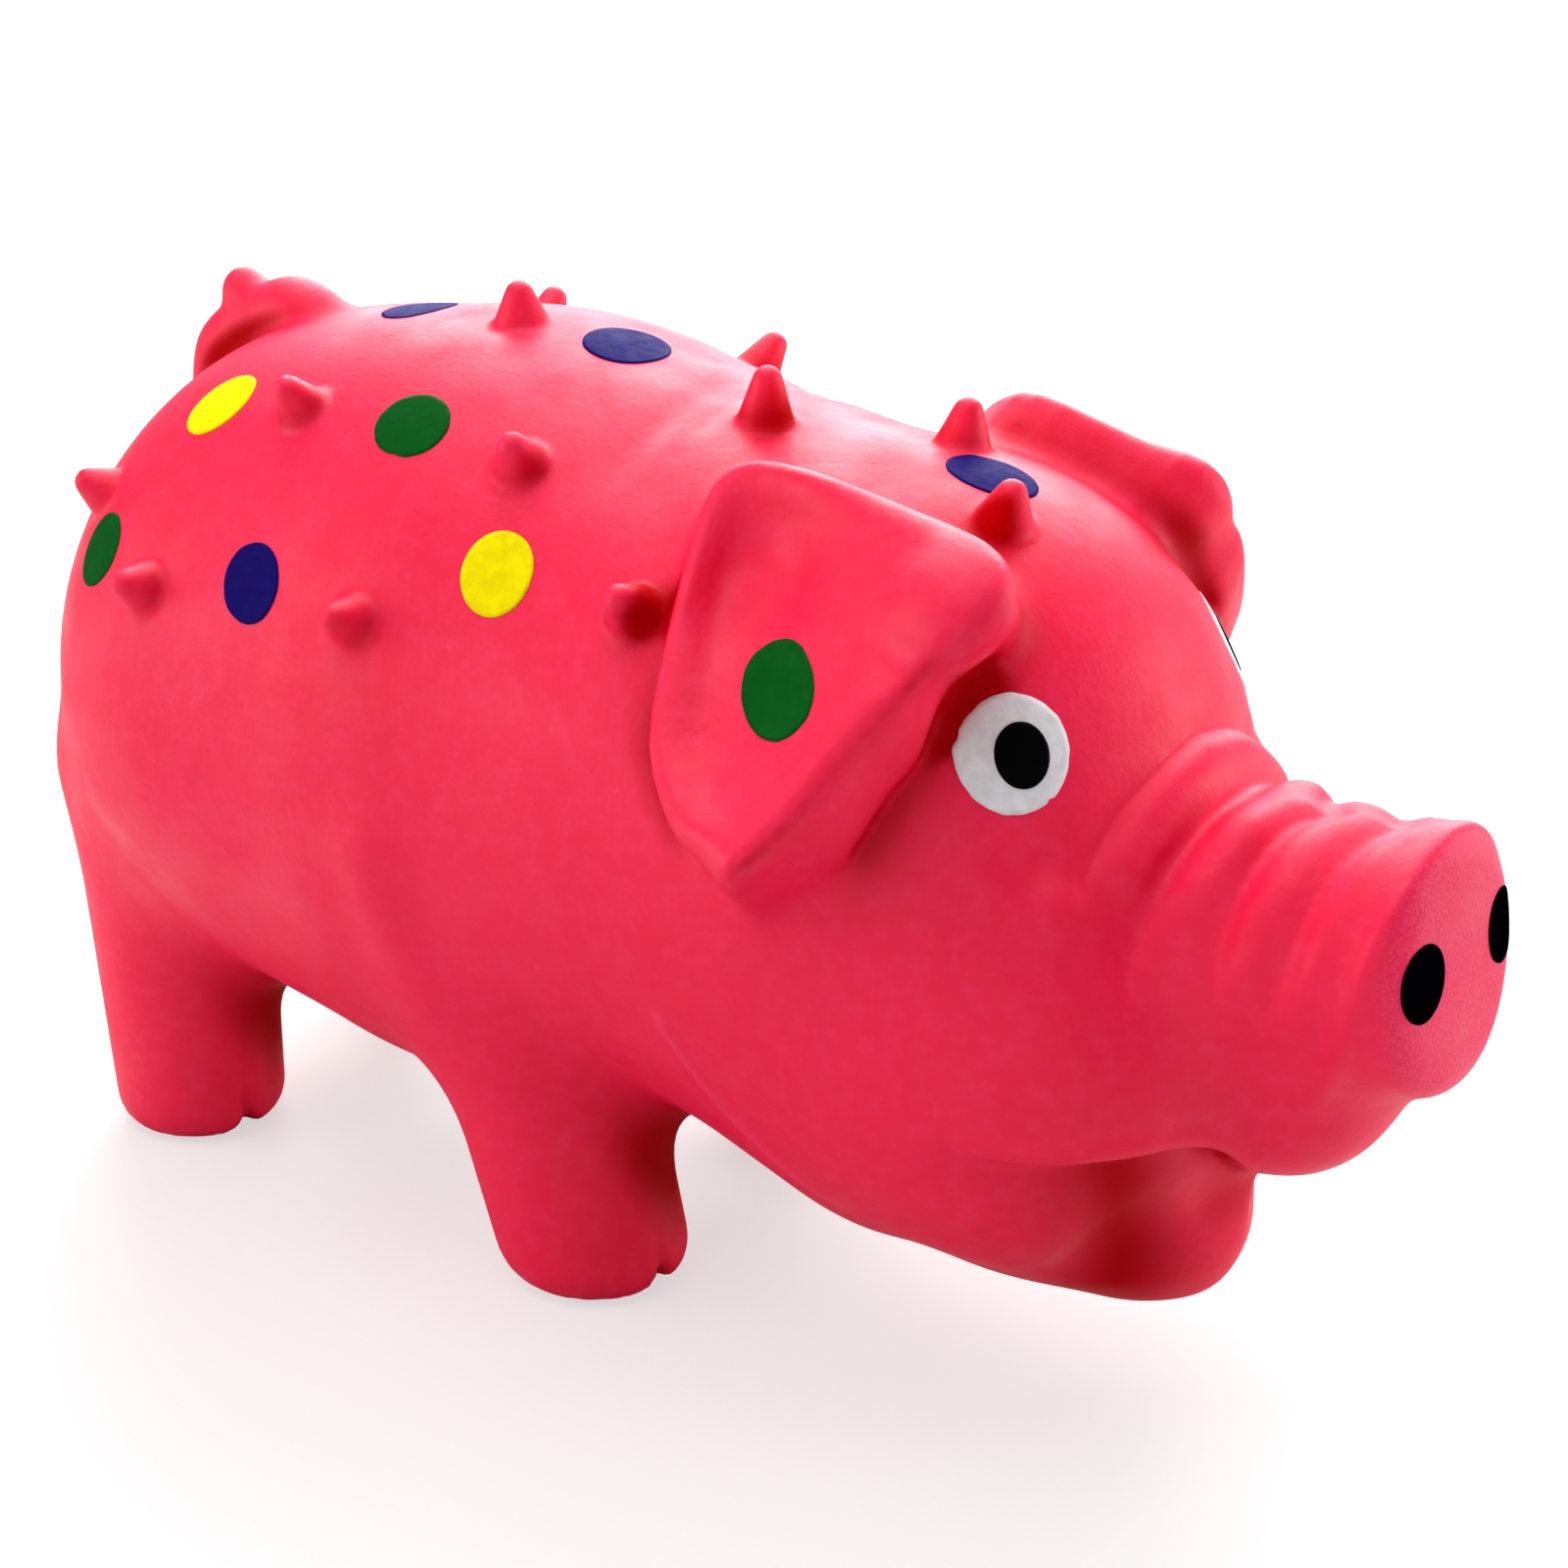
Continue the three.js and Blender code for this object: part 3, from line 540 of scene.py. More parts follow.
def to_moulding(points):
    """Distance to the outside of the whole moulded skin."""
    left = on_left(points)
    form = to_body(points) - relief(points)
    for leg in (REAR_LEG, FRONT_LEG):
        form = join(form, to_leg(left, leg), GROIN_BLEND)
    form = -join(-form, points[:, 2], SOLE_ROUNDING)
    for side, ear in EARS.items():
        near = around(left, EAR_AT, EAR_SPAN) & (points[:, 1] * side > 0)
        form[near] = join(form[near], to_ear(left[near], ear), EAR_BLEND)
    near = around(left, CREASE_ROUTE, 4 * EAR_CREASE_WIDTH)
    distance, share, _ = near_route(left[near], CREASE_ROUTE)
    fade = ramp(*EAR_CREASE_START, share) * (1 - ramp(*EAR_CREASE_END, share))
    form[near] += EAR_CREASE_DEPTH * fade * bell(distance, EAR_CREASE_WIDTH)
    near = around(points, TAIL_CURVE, 3 * TAIL_RADIUS)
    tail = near_route(points[near], TAIL_CURVE)[0] - TAIL_RADIUS
    tail = join(tail, to_ball(points[near], *TAIL_KNOB), TAIL_KNOB_BLEND)
    form[near] = join(form[near], tail, TAIL_BLEND)
    for root, way, height in HORNS:
        near = around(points, root, HORN_SPAN)
        tip = root + way * (height - HORN_RADII[1])
        form[near] = join(form[near], to_round_cone(points[near], root - way, tip, HORN_RADII), HORN_BLEND)
    near = around(points, (BOSS["x"], 0, BOSS["low"]), BOSS["radius"] + 5)
    across = np.hypot(points[near, 0] - BOSS["x"], points[near, 1]) - BOSS["radius"]
    half = BOSS["height"] / 2
    boss = np.maximum(across, np.abs(points[near, 2] - BOSS["low"] - half) - half)
    form[near] = join(form[near], boss, BOSS["blend"])
    return form


# Meshes


def add_ball(mesh, at, radii, detail=4):
    placed = Matrix.Translation(Vector(at) * MM) @ Matrix.Diagonal((*[r * MM for r in radii], 1))
    bmesh.ops.create_icosphere(mesh, subdivisions=detail, radius=1, matrix=placed)


def add_cone(mesh, base, end, radii, segments=32):
    base, end = Vector(base) * MM, Vector(end) * MM
    turn = (end - base).to_track_quat("Z", "Y").to_matrix().to_4x4()
    bmesh.ops.create_cone(
        mesh, cap_ends=True, segments=segments, radius1=radii[0] * MM, radius2=radii[1] * MM,
        depth=(end - base).length, matrix=Matrix.Translation((base + end) / 2) @ turn,
    )


def new_piece(name, mesh, material):
    data = bpy.data.meshes.new(name)
    mesh.to_mesh(data)
    mesh.free()
    piece = bpy.data.objects.new(name, data)
    bpy.context.scene.collection.objects.link(piece)
    data.materials.append(material)
    data.shade_smooth()
    return piece


def settled(piece):
    """The piece's mesh with its modifiers applied."""
    graph = bpy.context.evaluated_depsgraph_get()
    data = bpy.data.meshes.new_from_object(piece.evaluated_get(graph))
    piece.modifiers.clear()
    old = piece.data
    piece.data = data
    if not data.materials:
        data.materials.append(old.materials[0])
    bpy.data.meshes.remove(old)
    return piece


def remeshed(piece, voxel):
    modifier = piece.modifiers.new("voxels", "REMESH")
    modifier.mode = "VOXEL"
    modifier.voxel_size = voxel * MM
    return settled(piece)


def points_of(piece):
    flat = np.empty(len(piece.data.vertices) * 3, np.float32)
    piece.data.vertices.foreach_get("co", flat)
    return flat.reshape(-1, 3).astype(float) / MM


def set_points(piece, points):
    piece.data.vertices.foreach_set("co", (points * MM).astype(np.float32).ravel())
    piece.data.update()


def neighbours_mean(piece, values):
    """The mean of a value or place over the neighbours of every point."""
    edges = np.empty(len(piece.data.edges) * 2, np.int64)
    piece.data.edges.foreach_get("vertices", edges)
    a, b = edges.reshape(-1, 2).T
    total = np.zeros_like(values)
    np.add.at(total, a, values[b])
    np.add.at(total, b, values[a])
    count = np.bincount(np.concatenate([a, b]), minlength=len(values))[:, None]
    return total / np.maximum(count, 1)


def relaxed(piece, points, out, amount=0.6):
    """Points slid along the surface towards the middle of their neighbours."""
    pull = neighbours_mean(piece, points) - points
    return points + amount * (pull - out * (pull * out).sum(-1)[:, None])


def fitted(piece, form, rounds):
    """The piece's mesh laid on a form, with its points evened out along it."""
    points = points_of(piece)
    for _ in range(rounds):
        points, out = onto(form, points, steps=2)
        points = relaxed(piece, points, out)
    points, out = onto(form, points, steps=3, most=1.0)
    set_points(piece, points)
    return points, out


def refined(piece, wanted):
    """The piece with every edge whose ends are both wanted cut in two."""
    mesh = bmesh.new()
    mesh.from_mesh(piece.data)
    mesh.verts.ensure_lookup_table()
    edges = [edge for edge in mesh.edges if wanted[edge.verts[0].index] and wanted[edge.verts[1].index]]
    bmesh.ops.subdivide_edges(mesh, edges=edges, cuts=1, use_grid_fill=True)
    bmesh.ops.triangulate(mesh, faces=[face for face in mesh.faces if len(face.verts) > 4])
    mesh.to_mesh(piece.data)
    mesh.free()
    piece.data.shade_smooth()


def moulding_blank():
    """Rough masses of the whole skin in one mesh, before they are joined."""
    mesh = bmesh.new()
    add_ball(mesh, *TORSO, 5)
    for at, radii, _ in (*MASSES, UPPER_LIP, JAW):
        add_ball(mesh, at, radii)
    add_cone(mesh, *SNOUT)
    add_cone(mesh, SNOUT[1], (SNOUT_FACE["x"], 0, SNOUT[1][2]), (SNOUT[2][1], SNOUT[2][1] - 2))
    for side in (1, -1):
        add_ball(mesh, (CHEEK[0][0], CHEEK[0][1] * side, CHEEK[0][2]), CHEEK[1])
        for foot, hip, foot_radius, hip_radius, hip_height, _ in (REAR_LEG, FRONT_LEG):
            add_cone(
                mesh, (foot[0], foot[1] * side, 0), (hip[0], hip[1] * side, hip_height),
                (foot_radius, hip_radius + 2),
            )
        add_ear_blank(mesh, side)
    for root, way, height in HORNS:
        add_cone(mesh, root - way, root + way * height, HORN_RADII, 12)
    for place in TAIL_CURVE[::4]:
        add_ball(mesh, place, [TAIL_RADIUS] * 3, 3)
    add_ball(mesh, *TAIL_KNOB, 3)
    return mesh


def add_ear_blank(mesh, side):
    """The ear's outline as a face, extruded towards the head."""
    face = ear_places(EARS[side]["rim"][:-1])
    verts = [mesh.verts.new(Vector((x, y * side, z)) * MM) for x, y, z in face]
    flap = mesh.faces.new(verts)
    inward = Vector((EAR_INWARD[0], EAR_INWARD[1] * side, EAR_INWARD[2])) * EAR_DEPTH * MM
    block = bmesh.ops.extrude_face_region(mesh, geom=[flap], use_keep_orig=True)["geom"]
    moved = [item for item in block if isinstance(item, bmesh.types.BMVert)]
    bmesh.ops.translate(mesh, vec=inward, verts=moved)
    walls = {face for vert in [*verts, *moved] for face in vert.link_faces}
    bmesh.ops.recalc_face_normals(mesh, faces=list(walls))


# Materials


def new_material(name, **sockets):
    """A material with its node tree, its shader and the object's own coordinates."""
    material = bpy.data.materials.new(name)
    material.use_nodes = True
    shader = material.node_tree.nodes["Principled BSDF"]
    for socket, value in sockets.items():
        shader.inputs[socket.replace("_", " ")].default_value = value
    place = add_node(material.node_tree, "ShaderNodeTexCoord").outputs["Object"]
    return material, material.node_tree, shader, place


def add_node(tree, kind, inputs=None, **settings):
    node = tree.nodes.new(kind)
    for name, value in settings.items():
        setattr(node, name, value)
    for name, value in (inputs or {}).items():
        if isinstance(value, bpy.types.NodeSocket):
            tree.links.new(value, node.inputs[name])
        else:
            node.inputs[name].default_value = value
    return node


def noise(tree, place, scale, detail=3.0, roughness=0.5, distortion=0.0):
    return add_node(
        tree, "ShaderNodeTexNoise",
        {"Vector": place, "Scale": scale, "Detail": detail, "Roughness": roughness, "Distortion": distortion},
    ).outputs["Fac"]


def mapped(tree, value, low, high, to_low=0.0, to_high=1.0):
    node = add_node(tree, "ShaderNodeMapRange", {"Value": value, 1: low, 2: high, 3: to_low, 4: to_high})
    return node.outputs["Result"]


def mixed(tree, share, first, second):
    node = add_node(tree, "ShaderNodeMix", {0: share, 6: first, 7: second}, data_type="RGBA")
    return node.outputs[2]


def times(tree, first, second, operation="MULTIPLY"):
    return add_node(tree, "ShaderNodeMath", {0: first, 1: second}, operation=operation).outputs[0]


def feed(shader, **sockets):
    """Link values to the shader's sockets."""
    for socket, value in sockets.items():
        shader.id_data.links.new(value, shader.inputs[socket.replace("_", " ")])


def attribute(tree, name):
    return add_node(tree, "ShaderNodeAttribute", attribute_name=name).outputs["Fac"]


def raised(tree, shader, height, strength, distance):
    bump = add_node(tree, "ShaderNodeBump", {"Height": height, "Strength": strength, "Distance": distance})
    feed(shader, Normal=bump.outputs["Normal"])


def linear(red, green, blue):
    """A colour as seen on the toy, turned into the light that it reflects."""
    return (*[((c / 255 + 0.055) / 1.055) ** 2.4 if c > 10 else c / 255 / 12.92 for c in (red, green, blue)], 1)


def latex_material(look):
    material, tree, shader, place = new_material(
        "pink_latex", Roughness=look.roughness, Subsurface_Weight=look.softness,
        Subsurface_Scale=0.0025, Subsurface_Radius=(1.0, 0.2, 0.15), IOR=1.5,
    )
    pale = (*look.pale_pink, 1)
    cloud = mapped(tree, noise(tree, place, 22, 3), 0.35, 0.65)
    colour = mixed(tree, cloud, (*look.pink, 1), (*look.warm_pink, 1))
    mottle = mapped(tree, noise(tree, place, 420, 4, 0.65), 0.45, 0.75, 0, 0.22)
    colour = mixed(tree, mottle, colour, pale)
    # Painted shade: the skin turns deep red in hollows, in the open mouth and along the ears' creases, and shines
    # less there
    painted_shade = attribute(tree, "painted_shade")
    colour = mixed(tree, painted_shade, colour, (*look.shade_red, 1))
    colour = mixed(tree, times(tree, attribute(tree, "seam"), 0.35), colour, pale)
    shine = mapped(tree, painted_shade, 0, 1, 0.32, 0.02)
    # The snout's disc: fine pale speckles over a little pale painted sheen on the whole disc
    disc = attribute(tree, "snout_disc")
    grain = noise(tree, place, 2300, 2, 0.7)
    speckle_and_sheen = times(tree, mapped(tree, grain, 0.45, 0.62, 0.1, 0.7), disc)
    colour = mixed(tree, speckle_and_sheen, colour, pale)
    dust = add_node(tree, "ShaderNodeTexVoronoi", {"Vector": place, "Scale": 95.0}).outputs["Distance"]
    dots = mapped(tree, dust, 0.025, 0.045, 0.4, 0)
    colour = mixed(tree, dots, colour, pale)
    patches = mapped(tree, noise(tree, place, 120, 3), 0.3, 0.7, look.roughness - 0.07, look.roughness + 0.1)
    feed(shader, Base_Color=colour, Roughness=patches, Specular_IOR_Level=shine)
    skin = noise(tree, place, 900, 3, 0.6)
    rough = times(tree, times(tree, grain, disc), 1.6)
    waves = times(tree, noise(tree, place, 70, 2), 1.6)
    height = times(tree, times(tree, skin, rough, "ADD"), waves, "ADD")
    raised(tree, shader, height, 0.25, 0.0003)
    return material


def paint_material(name, colour, roughness, specular):
    material, tree, shader, place = new_material(name, Roughness=roughness, Specular_IOR_Level=specular)
    shade = [value * 0.82 for value in colour]
    streaks = mapped(tree, noise(tree, place, 420, 4, 0.6, 0.6), 0.35, 0.7)
    body = mixed(tree, streaks, (*colour, 1), (*shade, 1))
    worn = mapped(tree, noise(tree, place, 1300, 3, 0.7), 0.7, 0.78, 0, 0.2)
    pale = [min(1, value * 1.3 + 0.004) for value in colour]
    gloss = mapped(tree, noise(tree, place, 600, 3), 0.3, 0.7, roughness - 0.06, roughness + 0.1)
    feed(shader, Base_Color=mixed(tree, worn, body, (*pale, 1)), Roughness=gloss)
    raised(tree, shader, noise(tree, place, 700, 3), 0.25, 0.0002)
    return material


def plastic_material(name, colour):
    material, tree, shader, place = new_material(name, Roughness=0.4, Subsurface_Weight=0.1, Subsurface_Scale=0.002)
    flow = mapped(tree, noise(tree, place, 140, 3, 0.5, 1.2), 0.3, 0.7)
    darker = [value * 0.88 for value in colour[:3]]
    gloss = mapped(tree, noise(tree, place, 500, 3), 0.3, 0.7, 0.32, 0.5)
    feed(shader, Base_Color=mixed(tree, flow, colour, (*darker, 1)), Roughness=gloss)
    raised(tree, shader, noise(tree, place, 1400, 2), 0.15, 0.0001)
    return material


def brass_material():
    material, tree, shader, place = new_material("reed_brass", Metallic=1.0, Roughness=0.3)
    stretch = add_node(tree, "ShaderNodeMapping", {"Vector": place, "Scale": (60, 1500, 400)}).outputs["Vector"]
    lines = noise(tree, stretch, 1.0, 4, 0.6)
    bright, dull = linear(212, 172, 96), linear(176, 130, 62)
    colour = mixed(tree, mapped(tree, lines, 0.3, 0.7), bright, dull)
    feed(shader, Base_Color=colour, Roughness=mapped(tree, lines, 0.3, 0.7, 0.25, 0.42))
    raised(tree, shader, lines, 0.1, 0.0001)
    return material


def wadding_material():
    material, tree, shader, place = new_material(
        "white_fibre", Roughness=0.95, Sheen_Weight=0.4, Subsurface_Weight=0.2, Subsurface_Scale=0.003
    )
    strands = noise(tree, place, 800, 6, 0.75, 2.5)
    colour = mixed(tree, mapped(tree, strands, 0.3, 0.7), linear(245, 243, 238), linear(214, 210, 203))
    feed(shader, Base_Color=colour)
    raised(tree, shader, strands, 0.8, 0.0008)
    return material


def floor_material():
    """Pale floor: white to the camera apart from its shadow, and plain grey to the light on the toy."""
    material, tree, shader, place = new_material("pale_floor", Roughness=0.9, Specular_IOR_Level=0.0)
    rays = add_node(tree, "ShaderNodeLightPath")
    grey = mixed(tree, noise(tree, place, 3, 2), (0.58, 0.58, 0.58, 1), (0.55, 0.55, 0.55, 1))
    seen = mixed(tree, rays.outputs["Is Camera Ray"], grey, (0.95, 0.95, 0.95, 1))
    feed(shader, Base_Color=seen)
    glow = add_node(tree, "ShaderNodeEmission", {"Color": (1, 1, 1, 1), "Strength": 1.0})
    share = times(tree, rays.outputs["Is Camera Ray"], 0.6)
    mix = add_node(tree, "ShaderNodeMixShader", {0: share, 1: shader.outputs[0], 2: glow.outputs[0]})
    tree.links.new(mix.outputs[0], tree.nodes["Material Output"].inputs["Surface"])
    return material


# Sizes and colours that a user would change


def colour_setting(name, description, value):
    return FloatVectorProperty(
        name=name, description=description, default=value[:3], size=3, min=0, max=1, subtype="COLOR"
    )


class PigSkinSettings(bpy.types.PropertyGroup):
    """Mesh and look of the latex skin"""

    voxel: FloatProperty(
        name="Voxel", description="Edge length of the skin's mesh", default=0.0017, min=0.0008, max=0.004,
        unit="LENGTH",
    )
    roughness: FloatProperty(
        name="Roughness", description="Roughness of the latex", default=0.5, min=0, max=1, subtype="FACTOR"
    )
    softness: FloatProperty(
        name="Softness", description="Share of light that passes into the latex", default=0.1, min=0, max=1,
        subtype="FACTOR",
    )
    pink: colour_setting("Pink", "Main colour of the latex", linear(247, 13, 72))
    warm_pink: colour_setting("Warm Pink", "Colour of its broad cloudy patches", linear(243, 8, 62))
    pale_pink: colour_setting("Pale Pink", "Colour of its fine mottling and dust", linear(252, 62, 118))
    # Painted shade: the deep red laid into the hollows stands for shade
    shade_red: colour_setting("Deep Red", "Colour deep in its hollows", linear(178, 0, 8))


class PigPaintSettings(bpy.types.PropertyGroup):
    """Thickness and colours of the paint"""

    lift: FloatProperty(
        name="Lift", description="Height of the paint over the skin", default=0.00012, min=0, max=0.001,
        unit="LENGTH",
    )
    white: colour_setting("White", "Paint of the eyes", linear(236, 238, 241))
    black: colour_setting("Black", "Paint of the pupils and nostrils", linear(2, 2, 4))
    blue: colour_setting("Blue", "Paint of the blue spots", linear(20, 8, 98))
    green: colour_setting("Green", "Paint of the green spots", linear(0, 84, 22))
    yellow: colour_setting("Yellow", "Paint of the yellow spots", linear(252, 232, 0))


class PigStageSettings(bpy.types.PropertyGroup):
    """Camera and light"""

    azimuth: FloatProperty(
        name="Azimuth", description="Camera angle from the pig's right towards its snout",
        default=math.radians(37), subtype="ANGLE",
    )
    elevation: FloatProperty(
        name="Elevation", description="Camera angle over the floor", default=math.radians(22.3), subtype="ANGLE"
    )
    distance: FloatProperty(
        name="Distance", description="Camera distance from its target", default=0.4, min=0.1, unit="LENGTH"
    )
    lens: FloatProperty(
        name="Lens", description="Focal length on a 36 mm sensor", default=70.2, min=10, subtype="DISTANCE_CAMERA"
    )
    segments: IntProperty(
        name="Floor Segments", description="Sides of the round floor", default=96, min=12, subtype="UNSIGNED"
    )


# Operators


def finish_piece(piece, node):
    """Put a piece on the toy's body in place of its solid."""
    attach(piece, "toy")
    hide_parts(node)


def add_attribute(piece, name, values):
    attribute = piece.data.attributes.new(name, "FLOAT", "POINT")
    attribute.data.foreach_set("value", values.astype(np.float32))


def finer_places(points):
    """Which points of the skin get a finer mesh: head, ears, tail, seam, toes and horns."""
    left = folded_over(points)
    wanted = (points[:, 0] > HEAD_X) & (points[:, 2] > HEAD_Z)
    wanted |= around(left, EAR_AT, FINER["ear"]) & (left[:, 1] > EAR_Y)
    wanted |= around(points, TAIL_CURVE, FINER["tail"])
    wanted |= near_route(left, SEAM_ROUTE)[0] < FINER["seam"]
    for foot, _, radius, *_ in (REAR_LEG, FRONT_LEG):
        wanted |= size_of(left - (foot[0] + radius, foot[1], 3)) < FINER["toe"]
    for root, _, _ in HORNS:
        wanted |= size_of(points - root) < FINER["horn"]
    return wanted


def finest_places(points):
    """Which points of the skin get the finest mesh: mouth, folds, disc rim, seam and edges of the ears."""
    left = folded_over(points)
    wanted = near_route(left, MOUTH_ROUTE)[0] < FINER["mouth"]
    for route, _, _ in (*FOLD_ROUTES[:SNOUT_FOLDS], *RIDGE_ROUTES[2:4]):
        wanted |= near_route(left, route)[0] < FINER["fold"]
    return wanted | near_ear_edge(points)


def painted_shade_of(piece, points, out):
    """How much painted shade every point of the skin gets, from 0 to 1: in hollows, in the open mouth and along the
    ears' creases.
    """
    reaches, weights = zip(*HOLLOW_REACHES)
    open_to = [np.clip(to_moulding(points + out * reach) / reach, 0, 1) for reach in reaches]
    shut = 1 - np.array(open_to).T @ weights
    for _ in range(HOLLOW_SMOOTHING):
        shut = (shut + neighbours_mean(piece, shut[:, None])[:, 0]) / 2
    # Less painted shade on the front and top of the snout
    shut *= 1 - SNOUT_LESS_SHADE * ramp(*SNOUT_LESS_SHADE_X, points[:, 0]) * ramp(*SNOUT_LESS_SHADE_Z, points[:, 2])
    left = folded_over(points)
    # Painted shade in the open mouth
    valley = np.zeros(len(points))
    near = around(left, VALLEY_ROUTE, VALLEY_SPAN)
    laid, _ = onto(to_body, left[near], most=9)
    valley[near] = bell(near_route(laid, VALLEY_ROUTE)[0], VALLEY_SHADE_WIDTH)
    valley *= 1 - ramp(*VALLEY_SHADE_TOP, points[:, 2])
    # Painted shade along the crease between each ear and the head
    distance, share, _ = near_route(left, CREASE_ROUTE)
    crease = bell(distance, CREASE_SHADE_WIDTH) * (1 - ramp(*EAR_CREASE_END, share))
    return np.maximum.reduce([ramp(*HOLLOW_RANGE, shut), VALLEY_SHADE * valley, CREASE_SHADE * crease])


class PIG_OT_skin(bpy.types.Operator):
    """Mould the latex skin with its ears, legs, tail, horns and folds"""

    bl_idname = "pig_toy.skin"
    bl_label = "Latex Skin"

    def execute(self, context):
        look = context.scene.pig_skin
        piece = remeshed(new_piece("skin", moulding_blank(), latex_material(look)), look.voxel / MM)
        points, _ = fitted(piece, to_moulding, 4)
        refined(piece, finer_places(points))
        points, _ = fitted(piece, to_moulding, 2)
        refined(piece, finest_places(points))
        points, out = fitted(piece, to_moulding, 2)
        if len(piece.data.vertices) > SKIN_POINTS:
            raise RuntimeError(f"the skin has {len(piece.data.vertices)} points, over its limit")
        # Painted shade, kept as an attribute of the skin
        add_attribute(piece, "painted_shade", painted_shade_of(piece, points, out))
        add_attribute(piece, "seam", bell(near_route(folded_over(points), SEAM_ROUTE)[0], SEAM_PALE_WIDTH))
        # The snout's disc, for its speckles, its painted sheen and its rougher skin
        add_attribute(piece, "snout_disc", ramp(*DISC_EDGE, past_face(points)) * ramp(*DISC_LOW, points[:, 2]))
        finish_piece(piece, "latex_skin")
        return {"FINISHED"}


def mark_disc(segments=72, rings=9):
    """A flat disc of radius 1 with rings of faces round its middle."""
    mesh = bmesh.new()
    bmesh.ops.create_circle(mesh, cap_ends=True, cap_tris=True, segments=segments, radius=1)
    middle = min(mesh.verts, key=lambda vert: vert.co.length)
    bmesh.ops.subdivide_edges(mesh, edges=list(middle.link_edges), cuts=rings, use_grid_fill=True)
    return mesh


def frayed(angle, seed, amount, nicks):
    """Outline of a painted mark: a circle with small waves and nicks, the same each time for one seed."""
    random = np.random.default_rng(seed)
    edge = np.ones_like(angle)
    for waves in (2, 3, 5, 8, 13, 21):
        edge += amount / waves**0.7 * random.uniform(-1, 1) * np.cos(waves * angle + random.uniform(0, 6.28))
    for at, depth, width in nicks:
        edge -= depth * np.exp(-(((angle - at) / width) ** 2))
    return edge


def painted_mark(name, look, seed, lift, amount, material, side=1):
    """One painted mark: a thin closed film that follows the skin."""
    near = np.array([look["at"]], float) * (1, side, 1)
    (centre,), (out,) = onto(to_moulding, near, steps=5)
    level = np.array((-1.0, 0, 0)) if abs(out[2]) > 0.95 else np.array((0.0, 0, 1))
    across = np.cross(level, out)
    across /= size_of(across)
    up = np.cross(out, across)
    turn = look["turn"] * side
    across, up = across * math.cos(turn) + up * math.sin(turn), up * math.cos(turn) - across * math.sin(turn)
    mesh = mark_disc()
    flat = np.array([vert.co[:2] for vert in mesh.verts])
    edge = frayed(np.arctan2(flat[:, 1], -flat[:, 0] * side), seed, amount, look["nicks"])
    flat = flat * edge[:, None] * np.array(look["size"]) / 2
    points = centre + flat[:, :1] * across + flat[:, 1:] * up
    points, _ = onto(to_moulding, points, lift, steps=4)
    for vert, point in zip(mesh.verts, points):
        vert.co = Vector(point) * MM
    bmesh.ops.recalc_face_normals(mesh, faces=mesh.faces)
    mesh.faces.ensure_lookup_table()
    if mesh.faces[0].normal.dot(Vector(out)) < 0:
        bmesh.ops.reverse_faces(mesh, faces=mesh.faces)
    bmesh.ops.solidify(mesh, geom=list(mesh.faces), thickness=FILM_THICKNESS)
    bmesh.ops.recalc_face_normals(mesh, faces=mesh.faces)
    # Solidify leaves the rim's faces in any order
    mesh.verts.index_update()
    ordered = sorted(mesh.faces, key=lambda face: sorted(vert.index for vert in face.verts))
    for k, face in enumerate(ordered):
        face.index = k
    mesh.faces.sort()
    return new_piece(name, mesh, material)


class PIG_OT_eyes(bpy.types.Operator):
    """Paint the eye whites and the pupils"""

    bl_idname = "pig_toy.eyes"
    bl_label = "Painted Eyes"

    def execute(self, context):
        paint = context.scene.pig_paint
        white = paint_material("white_paint", paint.white, 0.5, 0.15)
        black = paint_material("pupil_paint", paint.black, 0.5, 0.03)
        for k, (name, side) in enumerate(SIDES):
            lift = paint.lift / MM
            film = painted_mark(f"eye_{name}", EYE_WHITE, EYE_SEED + k, lift, 0.035, white, side)
            finish_piece(film, f"eye_white_{name}")
            dot = painted_mark(f"pupil_{name}", PUPIL, PUPIL_SEED + k, lift * PUPIL_LIFT, 0.01, black, side)
            finish_piece(dot, f"eye_pupil_{name}")
        return {"FINISHED"}


class PIG_OT_nostrils(bpy.types.Operator):
    """Paint the nostrils on the snout's disc"""

    bl_idname = "pig_toy.nostrils"
    bl_label = "Painted Nostrils"

    def execute(self, context):
        paint = context.scene.pig_paint
        black = paint_material("nostril_paint", paint.black, 0.6, 0.0)
        for k, (name, side) in enumerate(SIDES):
            film = painted_mark(
                f"nostril_paint_{name}", NOSTRIL, NOSTRIL_SEED + k, paint.lift / MM, 0.015, black, side
            )
            finish_piece(film, f"nostril_{name}")
        return {"FINISHED"}


class PIG_OT_spots(bpy.types.Operator):
    """Paint the coloured spots on the back, the sides, the forehead and the ears"""

    bl_idname = "pig_toy.spots"
    bl_label = "Painted Spots"

    def execute(self, context):
        paint = context.scene.pig_paint
        lift = paint.lift / MM
        paints = {
            colour: paint_material(f"{colour}_paint", getattr(paint, colour), 0.6, 0.03)
            for colour in ("blue", "green", "yellow")
        }
        for k, (name, spot) in enumerate(MIDDLE_SPOTS.items()):
            colour = spot["colour"]
            film = painted_mark(f"dot_{name}", spot, MIDDLE_SEED + k, lift, SPOT_FRAY, paints[colour])
            finish_piece(film, f"spot_{name}")
        for k, (name, spot) in enumerate(SIDE_SPOTS.items()):
            colour = spot["colour"]
            for j, (side_name, side) in enumerate(SIDES):
                label = f"{name}_{side_name}"
                seed = SIDE_SEED + 2 * k + j
                film = painted_mark(f"dot_{label}", spot, seed, lift, SPOT_FRAY, paints[colour], side)
                finish_piece(film, f"spot_{label}")
        return {"FINISHED"}


